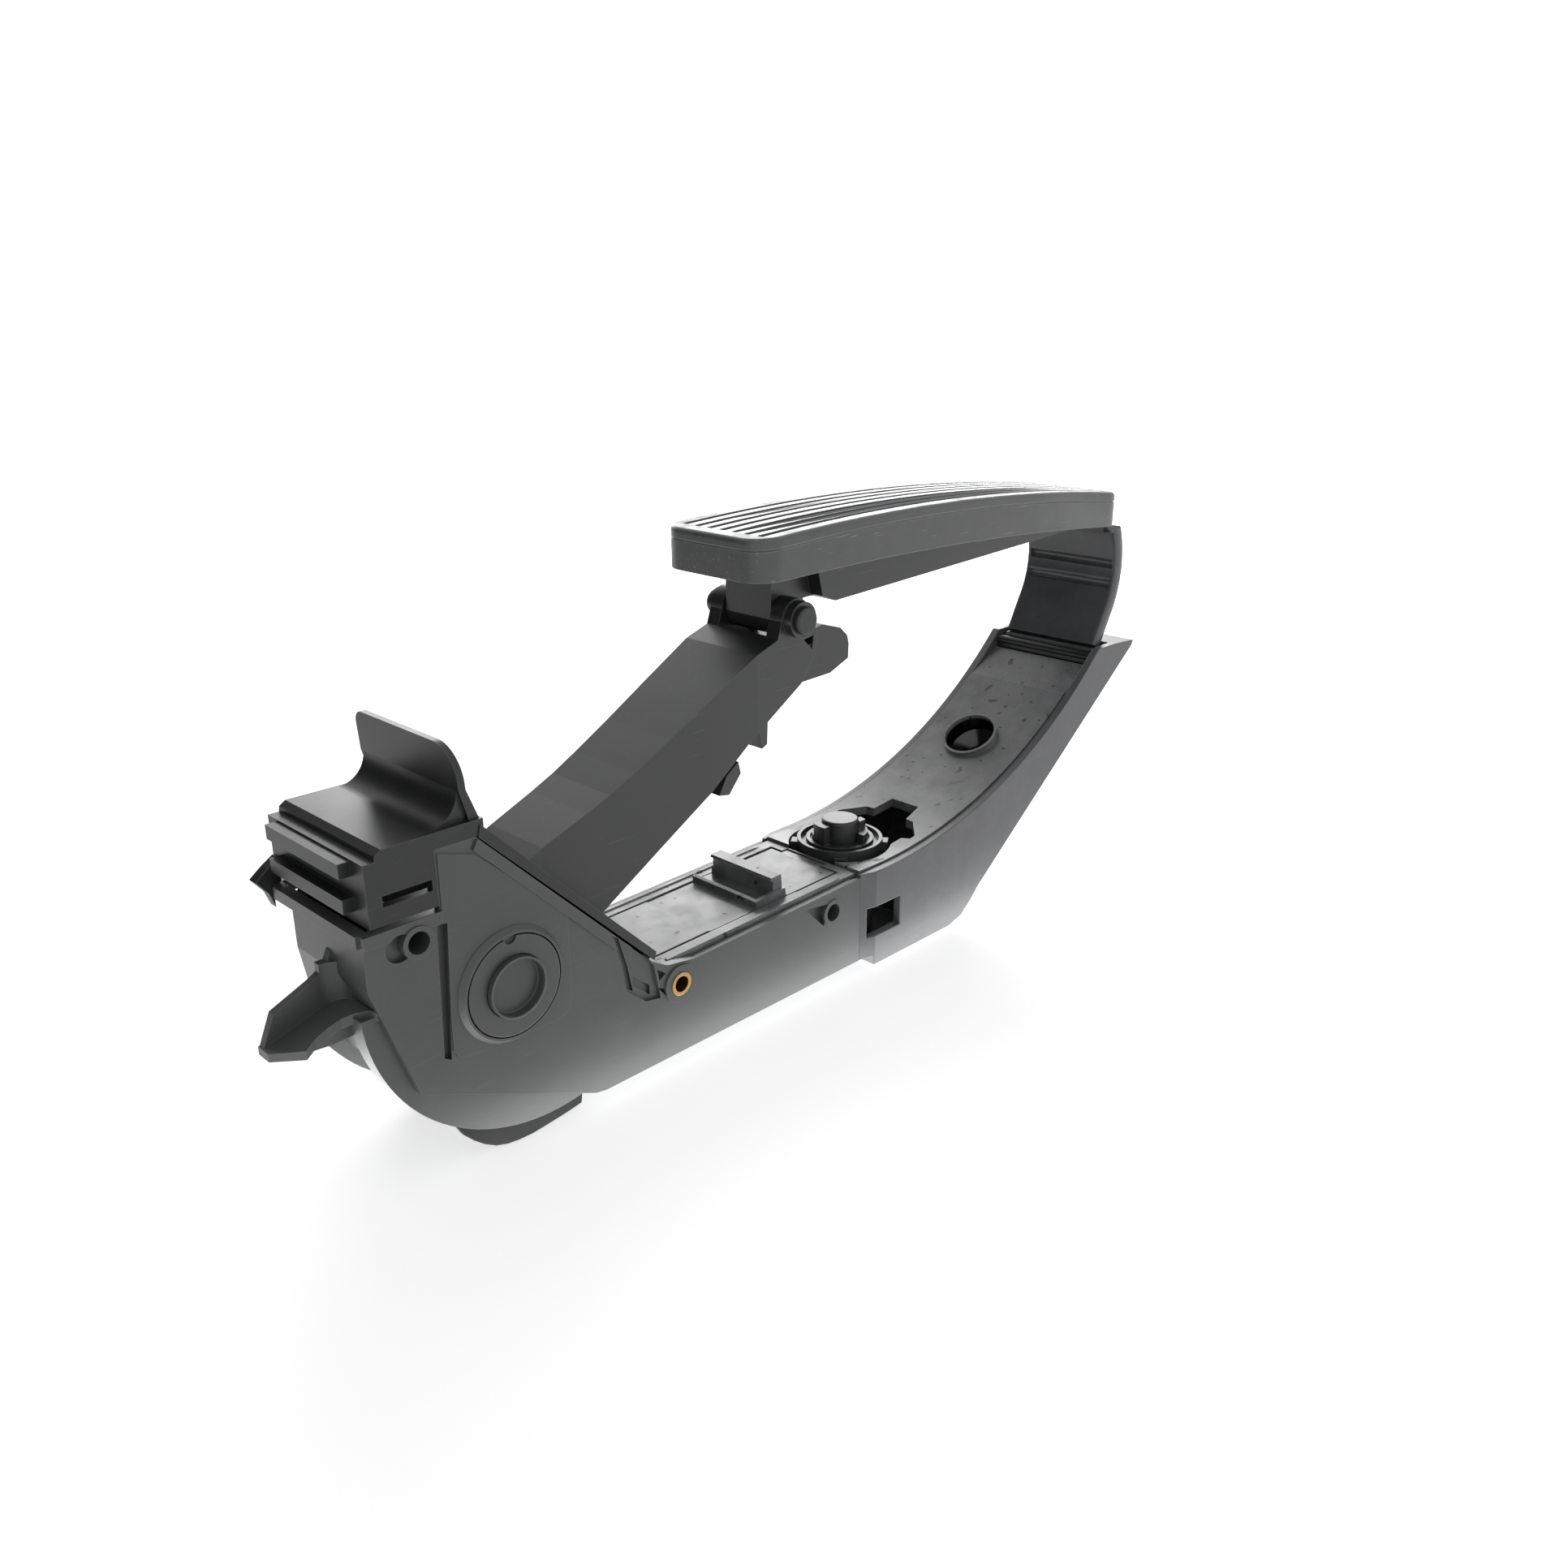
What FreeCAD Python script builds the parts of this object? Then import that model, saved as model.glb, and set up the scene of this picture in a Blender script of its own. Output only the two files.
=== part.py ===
import FreeCAD, Part
import math
import os
import Sketcher

from FreeCAD import Vector

# Accelerator pedal module of the organ type, with its position sensor built in.
# Layout frame of all sizes below: X along the module from the sensor housing at the front,
# Y across it from the middle plane (the photographed side is -Y), Z up from the floor, in mm.
# Every finished piece is then moved so that the frame's origin lies on the floor,
# under the middle of the whole module.

os.makedirs("parts", exist_ok=True)
doc = FreeCAD.newDocument("accelerator_pedal")
dims = doc.addObject("Spreadsheet::Sheet", "dims")

DRIVING = {
    "wall": 2.5,
    "gap": 0.3,
    "housing_half": 23.2,
    "heel_half": 25.0,
    "housing_top": 96.5,
    "deck_level": 35.0,
    "deck_curve_radius": 180.0,
    "seam_along": 178.8,
    "heel_length": 161.7,
    "pivot_along": 39.8,
    "pivot_level": 49.1,
    "pin_along": 154.6,
    "pin_drop": 14.2,
    "pin_radius": 2.6,
    "shaft_radius": 5.0,
    "hub_radius": 13.0,
    "arm_root_half": 12.0,
    "arm_tip_half": 15.6,
    "pan_radius": 53.5,
    "pad_nose_length": 21.1,
    "pad_tail_length": 12.4,
    "pad_half": 22.0,
    "pad_depth": 13.5,
    "pad_crown_radius": 1000.0,
    "pad_under_radius": 1500.0,
    "groove_width": 2.4,
    "strap_half": 20.5,
    "strap_thickness": 5.5,
    "strap_inset_length": 20.9,
    "strap_rise": 53.0,
    "kick_offset": 14.7,
    "kick_radius": 6.5,
    "kick_height": 10.0,
    "bolt_radius": 3.0,
    "cap_radius": 14.1,
    "wire_radius": 1.0,
    "centre_along": 160.25,
    "centre_side": 5.25,
    "floor_level": -1.6,
}
for row, (alias, number) in enumerate(DRIVING.items(), start=1):
    dims.set("A%d" % row, alias)
    dims.set("B%d" % row, str(number))
    dims.setAlias("B%d" % row, alias)
doc.recompute()


class Size:
    """A length that knows its number and the sheet formula it comes from."""

    def __init__(self, formula, number):
        self.formula = formula
        self.number = number

    def join(self, sign, other):
        other = other if isinstance(other, Size) else Size(repr(float(other)), float(other))
        results = {
            "+": lambda a, b: a + b,
            "-": lambda a, b: a - b,
            "*": lambda a, b: a * b,
            "/": lambda a, b: a / b,
        }
        number = results[sign](self.number, other.number)
        return Size("(%s %s %s)" % (self.formula, sign, other.formula), number)

    def __add__(self, other):
        return self.join("+", other)

    def __sub__(self, other):
        return self.join("-", other)

    def __mul__(self, other):
        return self.join("*", other)

    def __truediv__(self, other):
        return self.join("/", other)

    def __neg__(self):
        return self * -1.0

    def __radd__(self, other):
        return as_size(other) + self

    def __rsub__(self, other):
        return as_size(other) - self

    def __rmul__(self, other):
        return as_size(other) * self


def of(alias):
    return Size("dims." + alias, float(dims.get(alias)))


def as_size(value):
    return value if isinstance(value, Size) else Size(repr(float(value)), float(value))


WALL, GAP = of("wall"), of("gap")
HOUSING, HEEL = of("housing_half"), of("heel_half")
TOP, DECK, CURVE = of("housing_top"), of("deck_level"), of("deck_curve_radius")
SEAM = of("seam_along")
TIP = SEAM + of("heel_length")
KICK_X, KICK_R = SEAM + of("kick_offset"), of("kick_radius")
KICK_Z = DECK + of("kick_height")
CURVE_X = KICK_X - 5.5
CURVE_Z = DECK + CURVE


def curve_level(along):
    """Height of the heel's concave curve above the floor."""
    run = along - CURVE_X
    drop = math.sqrt(CURVE.number ** 2 - run.number ** 2)
    return CURVE_Z - Size("sqrt(pow(%s; 2) - pow(%s; 2))" % (CURVE.formula, run.formula), drop)


HEEL_Z = curve_level(TIP - 25.9)
RAMP_Z = curve_level(TIP - 44.7)
PIVOT_X, PIVOT_Z = of("pivot_along"), of("pivot_level")
STRAP_HALF, STRAP_T, RISE = of("strap_half"), of("strap_thickness"), of("strap_rise")
FOOT_X, FOOT_Z = TIP - of("strap_inset_length"), HEEL_Z - 1.05
PAD_HALF, PAD_DEEP = of("pad_half"), of("pad_depth")
PAD_Z = FOOT_Z + RISE
PIN_X, PIN_Z = of("pin_along"), PAD_Z - of("pin_drop")
PIN_R, SHAFT_R, HUB_R = of("pin_radius"), of("shaft_radius"), of("hub_radius")
ROOT_HALF, TIP_HALF = of("arm_root_half"), of("arm_tip_half")
PAD_X, PAD_END = PIN_X - of("pad_nose_length"), FOOT_X + of("pad_tail_length")
BOLT_R, CAP_R, WIRE_R = of("bolt_radius"), of("cap_radius"), of("wire_radius")
INSIDE = HOUSING - WALL
HEEL_INSIDE = HEEL - 3.1
BOLT_X, BOLT_Z = as_size(14.2), PIVOT_Z + 21.4

made = []


# Basic shapes, all bound to the sheet

def bind(thing, **settings):
    for name, value in settings.items():
        value = as_size(value)
        path = name.replace("__", ".")
        thing.setExpression(path, value.formula)
    return thing


def place(thing, x=0.0, y=0.0, z=0.0):
    return bind(thing, Placement__Base__x=x, Placement__Base__y=y, Placement__Base__z=z)


def turned(thing, axis, angle):
    thing.Placement = FreeCAD.Placement(Vector(0, 0, 0), FreeCAD.Rotation(axis, angle))
    return thing


def block(x0, x1, y0, y1, z0, z1):
    x0, x1, y0, y1, z0, z1 = [as_size(value) for value in (x0, x1, y0, y1, z0, z1)]
    box = doc.addObject("Part::Box", "Block")
    bind(box, Length=x1 - x0, Width=y1 - y0, Height=z1 - z0)
    return place(box, x0, y0, z0)


ALONG_Y = (Vector(1, 0, 0), -90)


def rod(radius, x, z, y0, y1):
    """Cylinder across the module, from y0 to y1."""
    cylinder = turned(doc.addObject("Part::Cylinder", "Rod"), *ALONG_Y)
    bind(cylinder, Radius=radius, Height=as_size(y1) - y0)
    return place(cylinder, x, y0, z)


def cone(radius0, radius1, x, z, y0, y1):
    """Cone across the module: radius0 at y0, radius1 at y1."""
    shape = turned(doc.addObject("Part::Cone", "Cone"), *ALONG_Y)
    bind(shape, Radius1=radius0, Radius2=radius1, Height=as_size(y1) - y0)
    return place(shape, x, y0, z)


def post(radius, x, y, z0, z1):
    """Upright cylinder."""
    cylinder = doc.addObject("Part::Cylinder", "Post")
    bind(cylinder, Radius=radius, Height=as_size(z1) - z0)
    return place(cylinder, x, y, z0)


def plane_of(body, role):
    return [part for part in body.Origin.OriginFeatures if part.Role == role][0]


def outline(body, role, points, offset=0.0):
    """Closed sketch through the points, each held by two bound distances from the origin."""
    sketch = body.newObject("Sketcher::SketchObject", "Outline")
    sketch.AttachmentSupport = [(plane_of(body, role), "")]
    sketch.MapMode = "FlatFace"
    sketch.setExpression("AttachmentOffset.Base.z", as_size(offset).formula)
    corners = [(as_size(a), as_size(b)) for a, b in points]
    flat = [Vector(a.number, b.number, 0) for a, b in corners]
    for start, end in zip(flat, flat[1:] + flat[:1]):
        sketch.addGeometry(Part.LineSegment(start, end), False)
    last = len(flat) - 1
    for index in range(len(flat)):
        before = last if index == 0 else index - 1
        sketch.addConstraint(Sketcher.Constraint("Coincident", before, 2, index, 1))
    for index, (a, b) in enumerate(corners):
        across = sketch.addConstraint(Sketcher.Constraint("DistanceX", -1, 1, index, 1, a.number))
        sketch.setExpression("Constraints[%d]" % across, a.formula)
        up = sketch.addConstraint(Sketcher.Constraint("DistanceY", -1, 1, index, 1, b.number))
        sketch.setExpression("Constraints[%d]" % up, b.formula)
    return sketch


def slab(points, y0, y1):
    """Side outline (x, z) carried across the module from y0 to y1."""
    y0, y1 = as_size(y0), as_size(y1)
    body = doc.addObject("PartDesign::Body", "Slab")
    sketch = outline(body, "XZ_Plane", points, -y0)
    pad = body.newObject("PartDesign::Pad", "Across")
    pad.Profile = sketch
    pad.Reversed = True
    bind(pad, Length=y1 - y0)
    return body


def plate(points, z0, z1):
    """Plan outline (x, y) carried up from z0 to z1."""
    z0, z1 = as_size(z0), as_size(z1)
    body = doc.addObject("PartDesign::Body", "Plate")
    sketch = outline(body, "XY_Plane", points, z0)
    pad = body.newObject("PartDesign::Pad", "Up")
    pad.Profile = sketch
    bind(pad, Length=z1 - z0)
    return body


def joined(*shapes):
    if len(shapes) == 1:
        return shapes[0]
    union = doc.addObject("Part::MultiFuse", "Joined")
    union.Shapes = list(shapes)
    union.Refine = True
    return union


def cut(base, *tools):
    result = doc.addObject("Part::Cut", "Cut")
    result.Base = base
    result.Tool = joined(*tools)
    result.Refine = True
    return result


def common(first, second):
    result = doc.addObject("Part::MultiCommon", "Common")
    result.Shapes = [first, second]
    return result


def mirrored(shape):
    """The same shape on the other side of the middle plane."""
    twin = doc.addObject("Part::Mirroring", "Twin")
    twin.Source = shape
    twin.Normal = Vector(0, 1, 0)
    return twin


def rounded(shape, radius, picks):
    """Fillet on the edges that picks(edge) chooses."""
    doc.recompute()
    fillet = doc.addObject("Part::Fillet", "Rounded")
    fillet.Base = shape
    edges = [number for number, edge in enumerate(shape.Shape.Edges, start=1) if picks(edge)]
    fillet.Edges = [(number, radius, radius) for number in edges]
    return fillet


def spans(edge, axis, low, high):
    """True where the whole edge lies between low and high along an axis (0, 1 or 2)."""
    box = edge.BoundBox
    ends = ((box.XMin, box.XMax), (box.YMin, box.YMax), (box.ZMin, box.ZMax))[axis]
    return ends[0] >= low and ends[1] <= high


# Fixed pieces: tray, housing and heel

def deck_level_at(along):
    """Height of the gently rising mid deck."""
    return DECK - (SEAM - along) * 0.022


PAN_X, PAN_Z, PAN_R = PIVOT_X + 12.2, PIVOT_Z + 7.9, of("pan_radius")
CORNER_TOP = PIVOT_Z + 23.9


def curved_rail(y0, y1, top):
    """Curved rail under the housing's sloping floor, as wide as from y0 to y1."""
    return common(rod(PAN_R, PAN_X, PAN_Z, y0, y1), block(-8, PIVOT_X + 30, -HOUSING, HOUSING, -5, top))


def far_corner(inset):
    """Slanted far corner of the housing's front, as the block that is missing there."""
    return plate([(-5, 11.2 - inset), (0.2, 11.2 - inset), (8.6 + inset * 0.8, HOUSING + 0.5),
                  (-5, HOUSING + 0.5)], 0, CORNER_TOP)


def tray_walls():
    """Walls and floors of both trays in one run: housing, curved rails, mid section, rising heel."""
    end_x, low_z = 0.2, 3.3
    housing = slab([
        (end_x, PIVOT_Z + 27.2), (end_x, PIVOT_Z + 12.9), (PIVOT_X - 28.5, PIVOT_Z - 20.5),
        (PIVOT_X + 25.2, 4.0), (PIVOT_X + 29, low_z), (SEAM, low_z), (SEAM, DECK - 0.9),
        (PIVOT_X + 64, DECK - 2.7), (PIVOT_X + 53, DECK - 1.0), (PIVOT_X + 47.4, DECK + 2.3),
        (33.0, TOP - 4.4), (21.3, TOP - 4.4), (21.3, PIVOT_Z + 27.2)], -HOUSING, HOUSING)
    rails = [curved_rail(-21.0, -15.0, PIVOT_Z + 4.5), curved_rail(15.0, 21.0, PIVOT_Z - 13.0)]
    heel = slab([
        (SEAM - 0.8, low_z), (SEAM + 4.7, low_z), (SEAM + 5.2, 0), (KICK_X + 32.5, 0),
        (KICK_X + 39.5, 1.8), (KICK_X + 45, 6), (KICK_X + 49.5, 10.5), (TIP - 1.2, HEEL_Z - 2.85),
        (TIP, HEEL_Z - 0.75), (TIP - 14.5, HEEL_Z + 0.15), (TIP - 25.9, HEEL_Z), (CURVE_X, DECK),
        (SEAM - 0.8, DECK)], -HEEL, HEEL)
    flare_end = SEAM + 5.5
    flare = plate([(SEAM - 0.8, -HOUSING), (flare_end, -HEEL), (TIP + 1, -HEEL), (TIP + 1, HEEL),
                   (flare_end, HEEL), (SEAM - 0.8, HOUSING)], -1, TOP)
    heel = common(cut(heel, rod(CURVE, CURVE_X, CURVE_Z, -HEEL - 5, HEEL + 5)), flare)
    flange = slab([(31.6, TOP - 7.4), (33.0, TOP - 4.8), (PIVOT_X + 47.4, DECK + 2.3),
                   (PIVOT_X + 44, DECK + 1.4)], -HOUSING - 0.8, HOUSING + 0.8)
    lip = block(-0.6, 4, -21.8, 19, CORNER_TOP, PIVOT_Z + 27.2)
    side_lip = block(0.2, 21.5, -HOUSING - 0.8, 0, CORNER_TOP, PIVOT_Z + 27.2)
    panel = slab([
        (21.8, PIVOT_Z + 42), (21.2, PIVOT_Z - 12), (22.6, PIVOT_Z - 14.6), (25.5, PIVOT_Z - 15.4),
        (PIVOT_X + 13, PIVOT_Z - 16.5), (PIVOT_X + 17, PIVOT_Z - 15.2), (PIVOT_X + 18.6, PIVOT_Z - 11.5),
        (PIVOT_X + 18.9, PIVOT_Z + 15), (31.5, PIVOT_Z + 39)], -HOUSING - 0.4, 0)
    cap_boss = joined(rod(CAP_R + 2.2, PIVOT_X, PIVOT_Z, -HOUSING - 0.6, HOUSING + 0.5),
                      cone(CAP_R + 1.0, CAP_R + 2.2, PIVOT_X, PIVOT_Z, -HOUSING - 2.0, -HOUSING - 0.6))
    housing = cut(housing, far_corner(0.0))
    outer = joined(housing, *rails, heel, flange, lip, side_lip, panel, cap_boss)

    room = slab([
        (2.7, 120), (2.7, PIVOT_Z + 13.4), (PIVOT_X - 26.2, PIVOT_Z - 18.6), (PIVOT_X + 26, 7.0),
        (PIVOT_X + 31, 5.8), (SEAM - 3, 5.8), (SEAM - 3, 120)], -INSIDE, INSIDE)
    room = cut(room, far_corner(WALL * 1.6))
    heel_room = slab([
        (SEAM - 4, 5.8), (SEAM + 6.5, 5.8), (SEAM + 8, 2.8), (KICK_X + 32, 2.8), (KICK_X + 42, 7.2),
        FLOOR_START, FLOOR_END, (TIP - 14.2, HEEL_Z - 8.05), (TIP - 14.2, HEEL_Z + 50),
        (SEAM - 4, HEEL_Z + 50)], -HEEL_INSIDE, HEEL_INSIDE)
    hollow = cut(outer, room, heel_room)
    return cut(joined(hollow, *inner_supports()), *base_openings())


FLOOR_START = (KICK_X + 48, as_size(13.3))
FLOOR_END = (TIP - 18.5, HEEL_Z - 12.25)


def heel_floor_at(along):
    """Height of the sloping floor inside the heel."""
    slope = (FLOOR_END[1] - FLOOR_START[1]) / (FLOOR_END[0] - FLOOR_START[0])
    return FLOOR_START[1] + (along - FLOOR_START[0]) * slope


def inner_supports():
    """Bearing bosses, tubes for the bolts, ribs under the covers and the kickdown tower."""
    under_cover = rod(CURVE + 2.9, CURVE_X, CURVE_Z, -HEEL, HEEL)
    ribs = [block(KICK_X + 23, KICK_X + 25.2, -HEEL_INSIDE - 0.5, HEEL_INSIDE + 0.5, 1.2, 17.0)]
    for along in (KICK_X + 56.5, KICK_X + 90.5):
        upright = block(along, along + 2.2, -HEEL_INSIDE - 0.5, HEEL_INSIDE + 0.5,
                        heel_floor_at(along) - 1.8, HEEL_Z)
        ribs.append(cut(upright, under_cover))
    for along in (SEAM - 54.8, SEAM - 42.8, SEAM - 6.2):
        ribs.append(block(along, along + 2.2, -INSIDE - 0.5, INSIDE + 0.5, 4.5,
                          deck_level_at(along) - 2.5))
    bearing_near = rod(10.0, PIVOT_X, PIVOT_Z, -INSIDE - 0.5, -17.0)
    bearing_far = rod(10.0, PIVOT_X, PIVOT_Z, 17.0, INSIDE + 0.5)
    front_tube = rod(BOLT_R + 1.3, BOLT_X, BOLT_Z, -HOUSING - 1.3, HOUSING)
    mid_tube = rod(BOLT_R + 1.4, SEAM - 14.4, DECK - 8.8, -HOUSING - 0.4, HOUSING)
    bush_boss = rod(6.0, PIVOT_X + 57.7, DECK - 8.6, -HOUSING - 0.6, -11.2)
    shoe_seat = slab([(PIVOT_X - 25.8, PIVOT_Z - 20.0), (PIVOT_X - 17.0, PIVOT_Z - 24.0),
                      (PIVOT_X - 10.5, PIVOT_Z - 17.3), (PIVOT_X - 16.8, PIVOT_Z - 11.4)], -4.5, 4.5)
    tower = cut(post(12.0, KICK_X, 0, 1.5, DECK - 4.6), post(KICK_R + 0.9, KICK_X, 0, 5.0, DECK))
    root_bar = slab([(TIP - 24.6, HEEL_Z - 21.55), (TIP - 17.5, HEEL_Z - 16.05),
                     (TIP - 17.5, HEEL_Z - 11.45), (TIP - 24.6, HEEL_Z - 11.45)],
                    -HEEL_INSIDE - 0.5, HEEL_INSIDE + 0.5)
    bosses = [bearing_near, bearing_far, front_tube, mid_tube, bush_boss]
    return ribs + bosses + [shoe_seat, tower, root_bar, prong()]


def prong():
    """Locating prong: an upright web and a rising floor that meet in one crease."""
    web = slab([(1.5, PIVOT_Z + 19.4), (-0.2, PIVOT_Z + 18.4), (-1.5, PIVOT_Z + 15.7),
                (-2.7, PIVOT_Z + 14.3), (-4.3, PIVOT_Z + 13.0), (-6.4, PIVOT_Z + 11.9),
                (-16.2, PIVOT_Z + 7.6), (-19.6, PIVOT_Z - 0.4), (3.0, PIVOT_Z + 4.9)], -7.4, -5.2)
    floor = slab([(-20.0, PIVOT_Z - 2.6), (-20.0, PIVOT_Z - 0.4), (2.0, PIVOT_Z + 6.4), (4.0, PIVOT_Z + 4.2)],
                 -22.5, -5.2)
    plan = plate([(-20.5, -5.0), (-20.5, -9.5), (-14.3, -18.3), (-11.2, -16.6), (-7.6, -15.8),
                  (-3.8, -16.0), (-0.8, -17.4), (1.4, -19.6), (2.6, -22.0), (4.5, -22.0), (4.5, -5.0)],
                 30, 80)
    keel = slab([(-14.0, PIVOT_Z - 0.9), (2.0, PIVOT_Z + 4.2), (6.0, PIVOT_Z - 3.0),
                 (1.0, PIVOT_Z - 1.2), (-6.0, PIVOT_Z - 1.6)], -15.4, -7.0)
    foot_size = 5.0
    foot = cut(block(1.4 - foot_size, 3.0, -7.4 - foot_size, -5.2, PIVOT_Z + 5.2, PIVOT_Z + 16),
               post(foot_size, 1.4 - foot_size, -7.4 - foot_size, 0, TOP))
    return joined(web, common(floor, plan), keel, foot)


def base_openings():
    """Bores, grooves, pockets and windows cut through or into the walls."""
    tools = [
        rod(BOLT_R, BOLT_X, BOLT_Z, -40, 40),
        cut(rod(3.8, BOLT_X - 4.6, BOLT_Z - 0.2, -40, -HOUSING + 1.7),
            rod(BOLT_R + 1.3, BOLT_X, BOLT_Z, -50, 0)),
        rod(BOLT_R, SEAM - 14.4, DECK - 8.8, -40, 40),
        rod(3.7, PIVOT_X + 57.7, DECK - 8.6, -40, -10.0),
        rod(7.5, PIVOT_X, PIVOT_Z, -40, 40),
        rod(CAP_R + 0.4, PIVOT_X, PIVOT_Z, -40, -HOUSING + 0.4),
        slab([(20.0, PIVOT_Z + 23.5), (18.6, PIVOT_Z - 13.2), (20.6, PIVOT_Z - 14.4),
              (22.8, PIVOT_Z + 23.5)], -40, -HOUSING + 1.8),
        slab([(69.6, 60.0), (73.2, 50.0), (76.2, 40.0), (77.5, 31.5), (84.5, 25.5), (90, 24.5),
              (PIVOT_X + 48, DECK + 1.0), (71.5, 57.6)], -40, -HOUSING + 1.1),
        slab([(70.6, 57.4), (73.6, 49.4), (76.8, 39.0), (78.2, 31.8), (80.6, 30.0), (79.0, 38.6),
              (76.0, 49.0), (71.8, 57.0)], -40, -HOUSING + 2.0),
        slab([(80.4, 35.0), (86.8, 29.6), (86.8, 26.4), (80.6, 31.8)], -40, -HOUSING + 2.1),
        slab([(88.9, 34.2), (92.2, 31.6), (89.7, 30.2)], -40, -HOUSING + 1.5),
        slab([(88.6, 28.4), (91.4, 27.0), (92.0, 24.4)], -40, -HOUSING + 1.5),
        cut(slab([(SEAM - 26.9, DECK - 4.2), (SEAM - 25.9, DECK - 3.6), (SEAM - 16.6, DECK - 5.2),
                  (SEAM - 18.6, DECK - 12.4)], -40, -HOUSING + 2.0),
            rod(BOLT_R + 1.4, SEAM - 14.4, DECK - 8.8, -50, 0)),
        block(KICK_X - 12.6, KICK_X + 3.9, -40, -HEEL_INSIDE + 0.5, DECK - 24.0, DECK - 13.2),
        slab([(PIVOT_X + 50, deck_level_at(PIVOT_X + 50) - 2.5),
              (SEAM - 3.1, deck_level_at(SEAM - 3.1) - 2.5), (SEAM - 3.1, 60), (PIVOT_X + 50, 60)],
             -INSIDE, INSIDE),
    ]
    return tools


WALLS = tray_walls()
TRAY_JOINT = SEAM - 0.8


def base_frame():
    """Front tray, which carries the bearings and the bolts; two tongues reach into the heel tray."""
    front = common(WALLS, block(-30, TRAY_JOINT, -40, 40, -5, TOP + 5))
    tongues = [block(SEAM - 4.2, SEAM + 3.0, side, side + 8.5, DECK - 6.0, DECK - 2.6)
               for side in (-INSIDE - 0.5, INSIDE - 8.0)]
    return joined(front, *tongues)


def heel_tray():
    """Rear tray, which rises to the heel and holds the kickdown element and the strap's foot."""
    return common(WALLS, block(TRAY_JOINT + 0.1, TIP + 5, -40, 40, -5, TOP + 50))


def top_cover():
    """Lid with end ribs, upright fin and the slanted frame round the lever opening."""
    lid = slab([(5.4, TOP - 3.6), (5.8, TOP - 1.2), (7.6, TOP), (35.5, TOP), (35.5, TOP - 2.6),
                (33.4, TOP - 4.4), (8.0, TOP - 4.4)], -HOUSING, HOUSING)
    front = block(2.6, 6.4, -HOUSING, HOUSING, TOP - 19.0, TOP - 2.6)
    ribs = [block(-0.5, 3, -17.2, 18.6, TOP - 7.0, TOP - 3.1),
            block(-0.5, 3, -17.4, 18.6, TOP - 15.9, TOP - 12.2)]
    cheeks = [block(3, 21.3, -HOUSING, -INSIDE, TOP - 19.0, TOP - 3),
              block(3, 21.3, INSIDE, HOUSING, TOP - 19.0, TOP - 3)]
    fin_top, foot_r = TOP + 19.2, 8.0
    fin = slab([(32.4, TOP - 1), (29.9, TOP + foot_r), (29.2, fin_top), (31.0, fin_top),
                (31.9, TOP + foot_r), (35.3, TOP - 1)], -HOUSING + 0.8, HOUSING + 0.4)
    for radius, sign in ((9.0, -1), (3.5, 1)):
        fin = rounded(fin, radius, lambda edge: spans(edge, 2, fin_top.number - 0.1, fin_top.number + 0.1)
                      and spans(edge, 1, sign * HOUSING.number - 1.0, sign * HOUSING.number + 1.0))
    foot = cut(block(29.9 - foot_r, 31.6, -HOUSING + 2.0, HOUSING - 0.8, TOP - 0.5, TOP + foot_r),
               rod(foot_r, 29.9 - foot_r, TOP + foot_r, -40, 40))
    fin = joined(fin, foot)
    rails = []
    for low, high in ((-HOUSING - 0.4, as_size(-15.8)), (as_size(15.8), HOUSING + 0.4)):
        rails.append(slab([(33.6, TOP - 4.6), (34.4, TOP - 1.4), (PIVOT_X + 48.8, DECK + 5.2),
                           (PIVOT_X + 48.2, DECK + 2.6)], low, high))
    sill = block(PIVOT_X + 46.4, PIVOT_X + 48.8, -INSIDE + GAP, INSIDE - GAP, DECK + 1.4, DECK + 4.4)
    body = joined(lid, front, *ribs, *cheeks, fin, *rails, sill)
    slot = block(6.6, 20.0, -40, -INSIDE + 1, TOP - 14.5, TOP - 11.6)
    return cut(body, slot, block(36.5, 60, -15.8, 15.8, TOP - 30, TOP + 5))


def deck_cover():
    """Mid cover: a frame round the window of the latch tongue."""
    start, end = PIVOT_X + 50.0, SEAM - 0.3
    top = slab([(start, deck_level_at(start) - 2.2), (start, deck_level_at(start) - 0.1),
                (end, deck_level_at(end) - 0.1), (end, deck_level_at(end) - 2.2)], -INSIDE + GAP, INSIDE - GAP)
    window = joined(block(SEAM - 61.6, SEAM - 4.0, -15.5, 15.5, 10, 60),
                    block(SEAM - 24.0, SEAM - 3.6, -15.9, 15.9, 10, 60))
    step = block(SEAM - 5, SEAM - 1.1, -8.0, 10.4, 10, 60)
    slots = [block(PIVOT_X + 54, SEAM - 61, side - 0.4, side + 0.4, 10, 60) for side in (-15.1, 15.1)]
    rail_start = PIVOT_X + 56
    rail = slab([(rail_start, deck_level_at(rail_start) - 0.4), (rail_start, deck_level_at(rail_start) + 0.3),
                 (SEAM - 9, DECK + 0.1), (SEAM - 6, DECK - 0.4)], -INSIDE + 0.8, -INSIDE + 2.2)
    tab = slab([(PIVOT_X + 50.2, DECK - 2.5), (PIVOT_X + 50.6, DECK + 3.4), (PIVOT_X + 52.4, DECK + 3.0),
                (PIVOT_X + 55.5, DECK - 2.5)], 1.0, 8.0)
    return cut(joined(top, rail, mirrored(rail), tab), window, step, *slots)


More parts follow.
